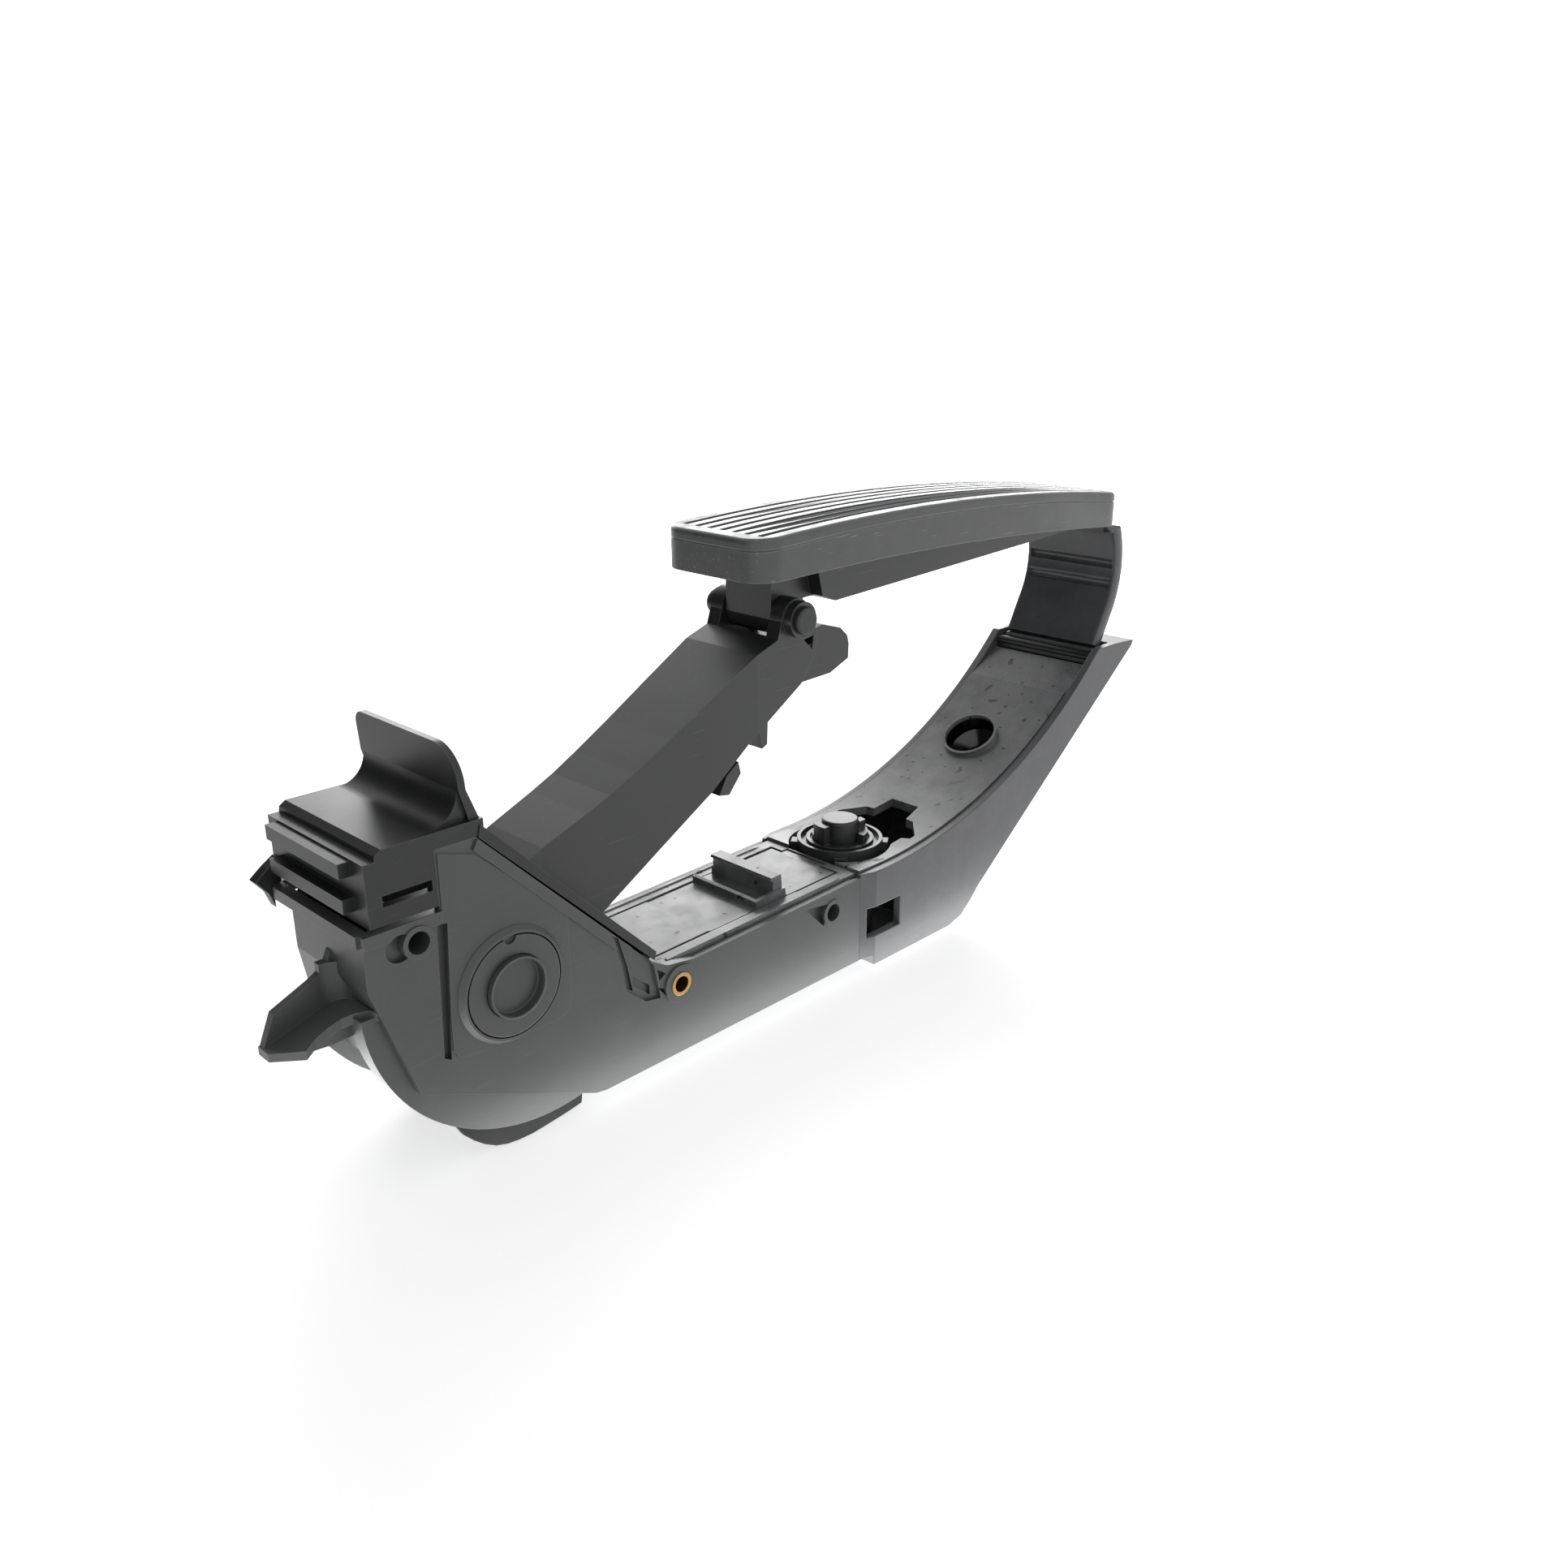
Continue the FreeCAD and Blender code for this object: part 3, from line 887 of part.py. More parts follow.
def pedal_plate():
    """Carrier under the pad: bowed plate, box beam with cross ribs, lug with the slotted eye."""
    under = bow(UNDER_R, UNDER_X, UNDER_Z + 1.2, -PAD_HALF - 1, PAD_HALF + 1)
    inside_skirt = rounded_plan(2.8, FRONT_CORNER - 2.5, REAR_CORNER - 2.5)
    deck = cut(common(inside_skirt, pad_bow(5.1)), under)
    beam_start, beam_end = PIN_X + 18.4, PAD_END - 30
    beam_long = beam_end - beam_start
    beam = slab([(PIN_X + 9.4, PAD_Z + 2), (PIN_X + 12.4, PAD_Z - 9.4), (beam_start, PAD_Z - 11.7),
                 (beam_start + beam_long * 0.215, PAD_Z - 10.5), (beam_start + beam_long * 0.48, PAD_Z - 8.9),
                 (beam_start + beam_long * 0.815, PAD_Z - 6.9), (beam_end, PAD_Z - 5.6), (beam_end, PAD_Z + 2)],
                -15.0, 15.0)
    beam_room = slab([(PIN_X + 20, PAD_Z - 30), (beam_end - 4, PAD_Z - 30), (beam_end - 4, PAD_Z - 2),
                      (PIN_X + 20, PAD_Z + 0.5)], -12.6, 12.6)
    ribs = [block(beam_start, beam_end - 2, -1, 1, PAD_Z - 6.5, PAD_Z + 1)]
    for share in (0.215, 0.48):
        along = beam_start + beam_long * share
        ribs.append(block(along, along + 2, -14, 14, PAD_Z - 8.4, PAD_Z + 1))
    lug = slab([(PIN_X - 5.0, PAD_Z + 2), (PIN_X - 5.0, PIN_Z - 0.5), (PIN_X - 3.6, PIN_Z - 4.4),
                (PIN_X - 0.5, PIN_Z - 6.2), (PIN_X + 4.5, PIN_Z - 6.2), (PIN_X + 7.4, PIN_Z - 4.2),
                (PIN_X + 8.6, PIN_Z), (PIN_X + 10.6, PAD_Z + 2)], -9.8, 9.8)
    gussets = [slab([(PIN_X + 8, PAD_Z + 2), (PIN_X + 8.2, PIN_Z + 4), (PIN_X + 17, PAD_Z - 10),
                     (PIN_X + 20, PAD_Z + 2)], side, side + 2.2) for side in (-9.8, 7.6)]
    seat = slab([strap_point(-4.3, 0.35), (FOOT_X + 1.6, PAD_Z), (PAD_END - 3.1, PAD_Z),
                 strap_point(0.0, 0.35)], -19.0, 19.0)
    seat = common(seat, inside_skirt)
    eye = joined(rod(PIN_R + 0.45, PIN_X - 0.1, PIN_Z, -30, 30),
                 rod(PIN_R + 0.45, PIN_X + 3.0, PIN_Z, -30, 30),
                 block(PIN_X - 0.1, PIN_X + 3.0, -30, 30, PIN_Z - PIN_R - 0.45, PIN_Z + PIN_R + 0.45))
    frame = joined(cut(beam, beam_room), *ribs)
    frame = common(frame, block(PIN_X, PAD_END, -30, 30, PAD_Z - 30, PAD_Z + 2.5))
    return cut(joined(deck, frame, lug, *gussets, seat), eye)


BEND_X, BEND_Z, BEND_R = FOOT_X - 21.6, FOOT_Z + RISE * 0.5774, 34.3
HEAD_ANGLE = math.radians(24.5)


def strap_point(across, beyond):
    """Point at the strap's upper end: across its thickness, and beyond its end."""
    x = BEND_X + (BEND_R + across) * math.cos(HEAD_ANGLE) - beyond * math.sin(HEAD_ANGLE)
    z = BEND_Z + (BEND_R + across) * math.sin(HEAD_ANGLE) + beyond * math.cos(HEAD_ANGLE)
    return x, z


def flex_strap():
    """Leaf: a straight foot that turns into an arc up to the plate, with two cross grooves inside."""
    half = STRAP_T / 2.0
    foot_angle = math.radians(-33.0)
    lean_cos, lean_sin = math.cos(foot_angle), math.sin(foot_angle)
    ring = cut(rod(half + BEND_R, BEND_X, BEND_Z, -STRAP_HALF, STRAP_HALF),
               rod(-half + BEND_R, BEND_X, BEND_Z, -30, 30))
    wedge = slab([(BEND_X, BEND_Z), (BEND_X + 60 * lean_cos, BEND_Z + 60 * lean_sin), (BEND_X + 60, BEND_Z),
                  (BEND_X + 60 * math.cos(HEAD_ANGLE), BEND_Z + 60 * math.sin(HEAD_ANGLE))], -30, 30)
    inner, outer = BEND_R - half, half + BEND_R
    foot = slab([(FOOT_X - half + 0.8, FOOT_Z + 0.3), (FOOT_X + half + 0.9, FOOT_Z + 0.3),
                 (BEND_X + outer * lean_cos, BEND_Z + outer * lean_sin),
                 (BEND_X + inner * lean_cos, BEND_Z + inner * lean_sin)], -STRAP_HALF, STRAP_HALF)
    grooves = []
    for turn in (math.radians(1.0), math.radians(-13.0)):
        grooves.append(rod(1.7, BEND_X + (inner - 0.3) * math.cos(turn), BEND_Z + (inner - 0.3) * math.sin(turn),
                           -STRAP_HALF + 1.6, STRAP_HALF - 1.6))
    return cut(joined(common(ring, wedge), foot), *grooves)


PIECES = {
    "base_frame": base_frame,
    "heel_tray": heel_tray,
    "top_cover": top_cover,
    "deck_cover": deck_cover,
    "deck_latch": deck_latch,
    "heel_cover": heel_cover,
    "strap_clamp": strap_clamp,
    "strap_root": strap_root,
    "cap_ring": cap_ring,
    "cap_disc": cap_disc,
    "bearing_near": lambda: bearing(-23.0, -17.2),
    "bearing_far": lambda: bearing(17.2, 23.0),
    "bolt_bush": bolt_bush,
    "return_spring_near": lambda: return_spring(-15.4),
    "return_spring_far": lambda: return_spring(8.35),
    "friction_shoe": friction_shoe,
    "sensor_cover": sensor_cover,
    "connector_pins": connector_pins,
    "sensor_board": sensor_board,
    "hall_chip_a": lambda: hall_chip(-5.5),
    "hall_chip_b": lambda: hall_chip(0.5),
    "end_latch": end_latch,
    "pan_lip_near": lambda: pan_lip(-19.4),
    "pan_lip_far": lambda: pan_lip(17.6),
    "kickdown_ring": kickdown_ring,
    "kickdown_sleeve": kickdown_sleeve,
    "kickdown_spring": kickdown_spring,
    "kickdown_plunger": kickdown_plunger,
    "lever_arm": lever_arm,
    "lever_shaft": lever_shaft,
    "magnet": magnet,
    "lever_clip": lever_clip,
    "hinge_pin": hinge_pin,
    "pin_washer": pin_washer,
    "pedal_plate": pedal_plate,
    "rubber_pad": rubber_pad,
    "flex_strap": flex_strap,
}


def move_to_frame(shape, label):
    """Names a finished piece and moves it from the layout frame to the module's own frame."""
    shape.Label = label
    own = {path.strip("."): formula for path, formula in shape.ExpressionEngine}
    for path, centre in (("Placement.Base.x", "centre_along"), ("Placement.Base.y", "centre_side"),
                         ("Placement.Base.z", "floor_level")):
        shape.setExpression(path, "(%s) - dims.%s" % (own.get(path, "0"), centre))


for label, make in PIECES.items():
    finished = make()
    move_to_frame(finished, label)
    made.append(finished)
doc.recompute()

for thing in doc.Objects:
    if "Invalid" in thing.State or "Error" in thing.State:
        raise RuntimeError("failed object: %s (%s)" % (thing.Label, thing.TypeId))
for finished in made:
    if finished.Shape.isNull() or not finished.Shape.isValid():
        raise RuntimeError("bad shape: " + finished.Label)
for finished in made:
    finished.Shape.exportStep("parts/%s.step" % finished.Label)
    box = finished.Shape.BoundBox
    print("%-20s solids %d  volume %9.1f  x %.1f..%.1f  y %.1f..%.1f  z %.1f..%.1f" % (
        finished.Label, len(finished.Shape.Solids), finished.Shape.Volume,
        box.XMin, box.XMax, box.YMin, box.YMax, box.ZMin, box.ZMax))
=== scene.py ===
# %% [markdown]
# A floor-standing accelerator pedal with its position sensor built in.
# The real one is a stack of injection moulded parts: an open tray with a closed housing at its front,
# a lever that swings in that housing, a pedal that hangs on the lever's pin, and a springy strap that
# carries the pedal's rear end. The CAD model already gives every moulded part its true size, so this
# lesson loads it as a fixed frame and then adds what CAD leaves out: finishes, softened edges and light.

# %% Load the frame
import bmesh
import bpy
import math
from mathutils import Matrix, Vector


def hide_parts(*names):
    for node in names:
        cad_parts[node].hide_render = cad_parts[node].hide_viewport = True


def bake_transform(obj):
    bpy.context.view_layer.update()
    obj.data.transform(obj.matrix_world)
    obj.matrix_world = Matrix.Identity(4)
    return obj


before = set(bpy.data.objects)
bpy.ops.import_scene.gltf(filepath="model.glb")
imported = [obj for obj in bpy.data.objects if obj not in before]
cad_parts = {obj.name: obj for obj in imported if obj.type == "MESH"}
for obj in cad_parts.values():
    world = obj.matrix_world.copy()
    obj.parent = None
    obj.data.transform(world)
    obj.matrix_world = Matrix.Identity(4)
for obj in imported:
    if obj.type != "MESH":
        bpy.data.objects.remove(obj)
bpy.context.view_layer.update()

# %% [markdown]
# All sizes below are read in the layout of the drawing: millimetres along the module from the front of the
# housing, across it from the middle plane, and up from the heel's underside. One function turns such a
# point into the frame's metres, so that no piece needs a hand-made offset.

# %% From the drawing's millimetres to metres
MM = 0.001
MIDDLE_ALONG, MIDDLE_ACROSS, FLOOR_LEVEL = 160.25, 5.25, -1.6


def at(along, across, up):
    """A place in the drawing as a point of the frame."""
    return Vector((along - MIDDLE_ALONG, across - MIDDLE_ACROSS, up - FLOOR_LEVEL)) * MM


print("lever axis lies at", [round(value, 4) for value in at(39.8, 0, 49.1)])

# %% [markdown]
# Colours are written as sRGB hex values, the way a colour picker shows them. Cycles works in linear light,
# so one function converts them. Another small function adds a node, sets it and wires it in one step. It
# takes sockets by name or by number, because some nodes have several sockets of one name. A Map Range
# takes its value on socket 0 and stretches the range on 1 and 2 to the one on 3 and 4. A Mix takes its
# factor on socket 0, two numbers on 2 and 3, and two colours on 6 and 7, and gives the colour on output 2.

# %% Colours and nodes


def linear(hex_code):
    """Linear red, green, blue and full alpha of an sRGB colour such as #808080."""
    channels = []
    for start in (1, 3, 5):
        value = int(hex_code[start:start + 2], 16) / 255
        channels.append(value / 12.92 if value <= 0.04045 else ((value + 0.055) / 1.055) ** 2.4)
    return channels + [1.0]


def add_node(tree, kind, settings=(), inputs=()):
    """New node; an input that is a socket is linked, any other is set."""
    made = tree.nodes.new(kind)
    for name, value in dict(settings).items():
        setattr(made, name, value)
    for name, value in dict(inputs).items():
        if isinstance(value, bpy.types.NodeSocket):
            tree.links.new(value, made.inputs[name])
        else:
            made.inputs[name].default_value = value
    return made


print("mid grey #808080 is linear", round(linear("#808080")[0], 3))

# %% [markdown]
# Every plastic part here is moulded, and moulded plastic is never one flat colour: the melt leaves faint
# clouds, the tool leaves a fine grain, handling rubs the edges paler, and dragging the part over a bench
# leaves hair-thin scuffs. One recipe holds these four and takes the finish as numbers. A Bevel node finds
# the edges: the dot product of its rounded normal and the true one is 1 on a flat face and less at an edge.
# The scuffs are a noise that is stretched until only thin streaks of it are left. Real grain and scuffs are
# a tenth of a millimetre fine and wouldn't show in the render, so the grain is drawn half a millimetre wide
# and the scuffs about one.

# %% Recipe of a moulded finish
CLOUD_FROM, CLOUD_FULL, GLOSS_FROM, GLOSS_FULL = 0.35, 0.75, 0.3, 0.7
EDGE_REACH, EDGE_FROM, EDGE_FULL = 0.5, 0.99, 0.82
STREAKS_A_METRE, STREAK_TURN = (60.0, 900.0, 900.0), (0.3, 0.2, 0.5)
STREAK_FROM, STREAK_FULL = 0.66, 0.72
GRAIN_SIZE, GRAIN_STRENGTH, COAT_ROUGHNESS = 0.5, 0.35, 0.25


def moulded(name, colour, cloud, edge, roughness, grain, cloud_size=22.0, spread=0.03, ior=1.5, coat=0.0,
            rub=0.5, scuffs=0.15):
    """Body colour, colours of clouds and rubbed edges; grain is its depth and, like cloud_size, in mm."""
    material = bpy.data.materials.new(name)
    material.use_nodes = True
    tree = material.node_tree
    shader = tree.nodes["Principled BSDF"]
    place = add_node(tree, "ShaderNodeTexCoord").outputs["Object"]
    clouds = add_node(tree, "ShaderNodeTexNoise",
                      inputs={"Vector": place, "Scale": 1000 / cloud_size, "Detail": 5.0, "Roughness": 0.62})
    patch = add_node(tree, "ShaderNodeMapRange",
                     inputs={0: clouds.outputs[0], 1: CLOUD_FROM, 2: CLOUD_FULL, 3: 0.0, 4: 1.0})
    body = add_node(tree, "ShaderNodeMix", {"data_type": "RGBA"},
                    {0: patch.outputs[0], 6: linear(colour), 7: linear(cloud)})
    turned = add_node(tree, "ShaderNodeBevel", {"samples": 4}, {"Radius": EDGE_REACH * MM})
    true_normal = add_node(tree, "ShaderNodeNewGeometry").outputs["Normal"]
    match = add_node(tree, "ShaderNodeVectorMath", {"operation": "DOT_PRODUCT"},
                     {0: turned.outputs[0], 1: true_normal})
    rubbed = add_node(tree, "ShaderNodeMapRange",
                      inputs={0: match.outputs["Value"], 1: EDGE_FROM, 2: EDGE_FULL, 3: 0.0, 4: rub})
    streak_place = add_node(tree, "ShaderNodeMapping",
                            inputs={"Vector": place, "Rotation": STREAK_TURN, "Scale": STREAKS_A_METRE})
    streaks = add_node(tree, "ShaderNodeTexNoise",
                       inputs={"Vector": streak_place.outputs[0], "Scale": 1.0, "Detail": 2.0})
    hairline = add_node(tree, "ShaderNodeMapRange",
                        inputs={0: streaks.outputs[0], 1: STREAK_FROM, 2: STREAK_FULL, 3: 0.0, 4: scuffs})
    worn = add_node(tree, "ShaderNodeMath", {"operation": "MAXIMUM"},
                    {0: rubbed.outputs[0], 1: hairline.outputs[0]})
    shown = add_node(tree, "ShaderNodeMix", {"data_type": "RGBA"},
                     {0: worn.outputs[0], 6: body.outputs[2], 7: linear(edge)})
    fine = add_node(tree, "ShaderNodeTexNoise",
                    inputs={"Vector": place, "Scale": 1000 / GRAIN_SIZE, "Detail": 2.0})
    gloss = add_node(tree, "ShaderNodeMapRange",
                     inputs={0: clouds.outputs[0], 1: GLOSS_FROM, 2: GLOSS_FULL,
                             3: roughness - spread, 4: roughness + spread})
    relief = add_node(tree, "ShaderNodeBump",
                      inputs={"Height": fine.outputs[0], "Strength": GRAIN_STRENGTH, "Distance": grain * MM})
    tree.links.new(shown.outputs[2], shader.inputs["Base Color"])
    tree.links.new(gloss.outputs[0], shader.inputs["Roughness"])
    tree.links.new(relief.outputs[0], shader.inputs["Normal"])
    shader.inputs["IOR"].default_value = ior
    shader.inputs["Coat Weight"].default_value = coat
    shader.inputs["Coat Roughness"].default_value = COAT_ROUGHNESS
    return material


# %% [markdown]
# The load-bearing parts are glass-filled nylon: black from carbon, satin, with a cloud where the fibres lie
# near the skin. The pigment itself is nearly black, as the lever shows best. In white surroundings it still
# looks grey, because the satin skin mirrors them. Dust and handling have greyed the tray and its heel. The
# covers of the housing have a finer tool finish and stay darker. The heel's cover is the palest. Its light
# colour is partly dust and wear, with strong clouds and scuffs, and partly a painted sheen: the lightness
# that its upward faces get from mirroring the room. The thin rails under the pan are dull and dark.

# %% Nylon parts
nylon_tray = moulded("nylon_glass_filled_tray", "#3f4041", "#494a4b", "#808183", 0.42, 0.04,
                     ior=1.6, rub=0.3, scuffs=0.06)
nylon_heel_tray = moulded("nylon_heel_tray", "#4b4c4e", "#5c5d60", "#8a8b8d", 0.4, 0.04,
                          cloud_size=14.0, spread=0.06, ior=1.6, rub=0.35, scuffs=0.12)
nylon_lever = moulded("nylon_glass_filled_lever", "#1e1f20", "#262728", "#626365", 0.36, 0.04,
                      cloud_size=40.0, ior=1.6)
nylon_cover = moulded("nylon_cover", "#1a1b1c", "#242526", "#6c6d6f", 0.4, 0.03,
                      cloud_size=16.0, rub=0.35, scuffs=0.08)
# The pale body is partly dust and partly painted sheen of the upward faces.
nylon_heel = moulded("nylon_heel_cover", "#5a5b5c", "#7a7b7d", "#a0a1a3", 0.36, 0.04,
                     cloud_size=9.0, spread=0.1, ior=1.62, scuffs=0.3)
nylon_lip = moulded("nylon_pan_lip", "#0e0f10", "#141516", "#58595b", 0.75, 0.05,
                    cloud_size=12.0, ior=1.42)
nylons = (nylon_tray, nylon_heel_tray, nylon_lever, nylon_cover, nylon_heel, nylon_lip)
print("nylon finishes:", [finish.name for finish in nylons])

# %% [markdown]
# Marks that belong to a place and not to a material: use leaves specks of dirt all over the worn covers, and
# the heel cover's cup gets painted shade, a near-black glossy colour that stands in for the shade inside the
# deep hole. Each mark is a mask from 0 to 1 over the part, and one function lays a second look over a
# finished material wherever its mask is 1. The specks get their mask from the few highest peaks of a fine
# noise, so they lie scattered, a few millimetres apart or more. The painted shade gets its mask from the
# distance to the cup's centre.

# %% Marks that lie over a finish
SPECK_NOISE, SPECK_FROM, SPECK_FULL, SPECK_SHARE = 3.0, 0.765, 0.785, 0.9


def lay_over(material, mask, hex_code, roughness):
    """Another colour and roughness where the mask is 1."""
    tree = material.node_tree
    shader = tree.nodes["Principled BSDF"]
    colour_below = shader.inputs["Base Color"].links[0].from_socket
    gloss_below = shader.inputs["Roughness"].links[0].from_socket
    tint = add_node(tree, "ShaderNodeMix", {"data_type": "RGBA"},
                    {0: mask, 6: colour_below, 7: linear(hex_code)})
    gloss = add_node(tree, "ShaderNodeMix", {"data_type": "FLOAT"},
                     {0: mask, 2: gloss_below, 3: roughness})
    tree.links.new(tint.outputs[2], shader.inputs["Base Color"])
    tree.links.new(gloss.outputs[0], shader.inputs["Roughness"])


heel_tree = nylon_heel.node_tree
heel_place = add_node(heel_tree, "ShaderNodeTexCoord").outputs["Object"]
speck_noise = add_node(heel_tree, "ShaderNodeTexNoise",
                       inputs={"Vector": heel_place, "Scale": 1000 / SPECK_NOISE, "Detail": 0.0})
specks = add_node(heel_tree, "ShaderNodeMapRange",
                  inputs={0: speck_noise.outputs[0], 1: SPECK_FROM, 2: SPECK_FULL, 3: 0.0, 4: SPECK_SHARE})
lay_over(nylon_heel, specks.outputs[0], "#0b0b0c", 0.5)
print("specks are the peaks of a noise of", SPECK_NOISE, "mm")

# %% Painted shade in the heel cover's cup
CUP_CENTRE, CUP_MOUTH, SHADE_RIM = (273.6, 1.4, 50.5), 12.1, 0.5
from_cup = add_node(heel_tree, "ShaderNodeVectorMath", {"operation": "DISTANCE"},
                    {0: heel_place, 1: at(*CUP_CENTRE)})
# Painted shade: the mask is 1 inside the cup's mouth, where a near-black glossy colour stands in for the
# shade of the deep hole.
cup_painted_shade = add_node(heel_tree, "ShaderNodeMapRange",
                  inputs={0: from_cup.outputs["Value"], 1: CUP_MOUTH * MM, 2: (CUP_MOUTH - SHADE_RIM) * MM,
                          3: 0.0, 4: 1.0})
lay_over(nylon_heel, cup_painted_shade.outputs[0], "#050506", 0.2)
print("heel cover finish has", len(heel_tree.nodes), "nodes")

# %% [markdown]
# The strap and the kickdown element are acetal: it bends without tiring and slides without grease. Its tool
# is polished, so it shows clear highlights. The pin is the same stuff. The bearings are left in acetal's
# own ivory.

# %% Acetal parts
acetal_strap = moulded("acetal_strap", "#4a4b4d", "#565759", "#707174", 0.3, 0.02,
                       cloud_size=14.0, ior=1.48)
acetal_black = moulded("acetal_black", "#2a2b2c", "#343536", "#5e5f63", 0.34, 0.02,
                       cloud_size=12.0, ior=1.48)
acetal_natural = moulded("acetal_natural", "#d8d3c4", "#e2ddcf", "#efece2", 0.4, 0.02,
                         cloud_size=10.0, ior=1.48)
print("acetal finishes:", acetal_strap.name, acetal_black.name, acetal_natural.name)

# %% [markdown]
# The tread is moulded EPDM rubber. It is matt, but shoes polish the crests of its ribs, which makes them
# glossier. Their paler colour is a painted highlight, the sheen that the crests catch, and the pale rubbed
# edges of the ribs are partly wear and partly painted highlight. The near-black colour in the grooves between
# them is painted shade, and pale dust settles towards its rear end. The grooves repeat across the tread at
# one pitch, so the painted shade needs no image: the distance to the nearest groove's middle line tells
# groove from rib, and the painted shade fades out over a small share of the pitch at the groove's edge. Two
# more masks end the grooves at the sides and at the ends of their field.

# %% Rubber of the tread
# The pale edge colour and strong rub are partly wear and partly a painted highlight along the edges of the
# ribs.
rubber_tread = moulded("rubber_epdm_tread", "#4b4c4d", "#58595a", "#acadaf", 0.4, 0.05,
                       cloud_size=9.0, spread=0.1, ior=1.58, rub=0.8, scuffs=0.3)
tread = rubber_tread.node_tree
tread_point = add_node(tread, "ShaderNodeTexCoord").outputs["Object"]
tread_place = add_node(tread, "ShaderNodeSeparateXYZ", inputs={0: tread_point})
tread_along = tread_place.outputs["X"]
print("rubber finish:", rubber_tread.name, "with", len(tread.nodes), "nodes")

# %% Where the grooves of the tread are
GROOVE_PITCH, GROOVE_HALF, GROOVED_HALF = 5.314, 1.2, 17.4
FADE_OUTSIDE, FADE_INSIDE = 0.015, 0.03
FIELD_START, FIELD_END = 138.8, 325.2
across = add_node(tread, "ShaderNodeMath", {"operation": "ADD"},
                  {0: tread_place.outputs["Y"], 1: MIDDLE_ACROSS * MM})
step = add_node(tread, "ShaderNodeMath", {"operation": "DIVIDE"},
                {0: across.outputs[0], 1: GROOVE_PITCH * MM})
nearest = add_node(tread, "ShaderNodeMath", {"operation": "ROUND"}, {0: step.outputs[0]})
offset = add_node(tread, "ShaderNodeMath", {"operation": "SUBTRACT"},
                  {0: step.outputs[0], 1: nearest.outputs[0]})
distance = add_node(tread, "ShaderNodeMath", {"operation": "ABSOLUTE"}, {0: offset.outputs[0]})
in_groove = add_node(tread, "ShaderNodeMapRange",
                     inputs={0: distance.outputs[0], 1: GROOVE_HALF / GROOVE_PITCH + FADE_OUTSIDE,
                             2: GROOVE_HALF / GROOVE_PITCH - FADE_INSIDE, 3: 0.0, 4: 1.0})
from_middle = add_node(tread, "ShaderNodeMath", {"operation": "ABSOLUTE"}, {0: across.outputs[0]})
in_width = add_node(tread, "ShaderNodeMath", {"operation": "LESS_THAN"},
                    {0: from_middle.outputs[0], 1: GROOVED_HALF * MM})
from_centre = add_node(tread, "ShaderNodeMath", {"operation": "SUBTRACT"},
                       {0: tread_along, 1: at((FIELD_START + FIELD_END) / 2, 0, 0).x})
off_centre = add_node(tread, "ShaderNodeMath", {"operation": "ABSOLUTE"}, {0: from_centre.outputs[0]})
in_length = add_node(tread, "ShaderNodeMath", {"operation": "LESS_THAN"},
                     {0: off_centre.outputs[0], 1: (FIELD_END - FIELD_START) / 2 * MM})
in_field = add_node(tread, "ShaderNodeMath", {"operation": "MULTIPLY"},
                    {0: in_width.outputs[0], 1: in_length.outputs[0]})
print("grooved field:", round(FIELD_END - FIELD_START, 1), "x", 2 * GROOVED_HALF, "mm")

# %% Dust on the rear end of the tread
DUST_START, DUST_END, DUST_SHARE = 240, 305, 0.85
PATCH_SIZE, PATCH_FROM, PATCH_FULL, THIN_SHARE = 16.0, 0.4, 0.6, 0.25
rearwards = add_node(tread, "ShaderNodeMapRange",
                     inputs={0: tread_along, 1: at(DUST_START, 0, 0).x, 2: at(DUST_END, 0, 0).x,
                             3: 0.0, 4: DUST_SHARE})
dust_noise = add_node(tread, "ShaderNodeTexNoise",
                      inputs={"Vector": tread_point, "Scale": 1000 / PATCH_SIZE, "Detail": 5.0})
dust_patch = add_node(tread, "ShaderNodeMapRange",
                      inputs={0: dust_noise.outputs[0], 1: PATCH_FROM, 2: PATCH_FULL, 3: THIN_SHARE, 4: 1.0})
dust = add_node(tread, "ShaderNodeMath", {"operation": "MULTIPLY"},
                {0: rearwards.outputs[0], 1: dust_patch.outputs[0]})
lay_over(rubber_tread, dust.outputs[0], "#6f7071", 0.5)
print("dust thickens from", DUST_START, "to", DUST_END, "mm along the module")

# %% Painted shade in the grooves and painted highlight on the crests
CREST_HIGHLIGHT_SHARE = 0.75
# Painted shade: a near-black colour in the grooves, where the ribs shade the groove floors.
groove_painted_shade = add_node(tread, "ShaderNodeMath", {"operation": "MULTIPLY"},
                 {0: in_groove.outputs[0], 1: in_field.outputs[0]})
lay_over(rubber_tread, groove_painted_shade.outputs[0], "#0c0c0d", 0.9)
on_rib = add_node(tread, "ShaderNodeMath", {"operation": "SUBTRACT"},
                  {0: in_field.outputs[0], 1: groove_painted_shade.outputs[0]})
# Painted highlight: the paler colour on the crests of the ribs stands in for the sheen they catch; the lower
# roughness is the polish.
crest_painted_highlight = add_node(tread, "ShaderNodeMath", {"operation": "MULTIPLY"}, {0: on_rib.outputs[0], 1: CREST_HIGHLIGHT_SHARE})
lay_over(rubber_tread, crest_painted_highlight.outputs[0], "#8c8d8f", 0.33)
print("the tread's finish with its marks has", len(tread.nodes), "nodes")

# %% [markdown]
# Small metal parts: the brass bush is turned and keeps tool marks, drawn coarser here than real ones so that
# they can show. The springs are drawn wire, the shaft is ground, the contacts are tinned, and the magnet is
# sintered ferrite with a dull sheen. Metals keep the default index of refraction. Their colour is what they
# reflect, and roughness does the rest. A Wave texture draws the sine of 20 times the scaled distance, so
# its scale is worked out from the spacing of the marks.

# %% Metal parts
METAL_CLOUD, SMOOTHER, ROUGHER = 3.0, 0.06, 0.08
WAVE_FACTOR, WAVE_BEND, RELIEF_DEPTH, RELIEF_STRENGTH = 20, 0.2, 0.03, 0.25


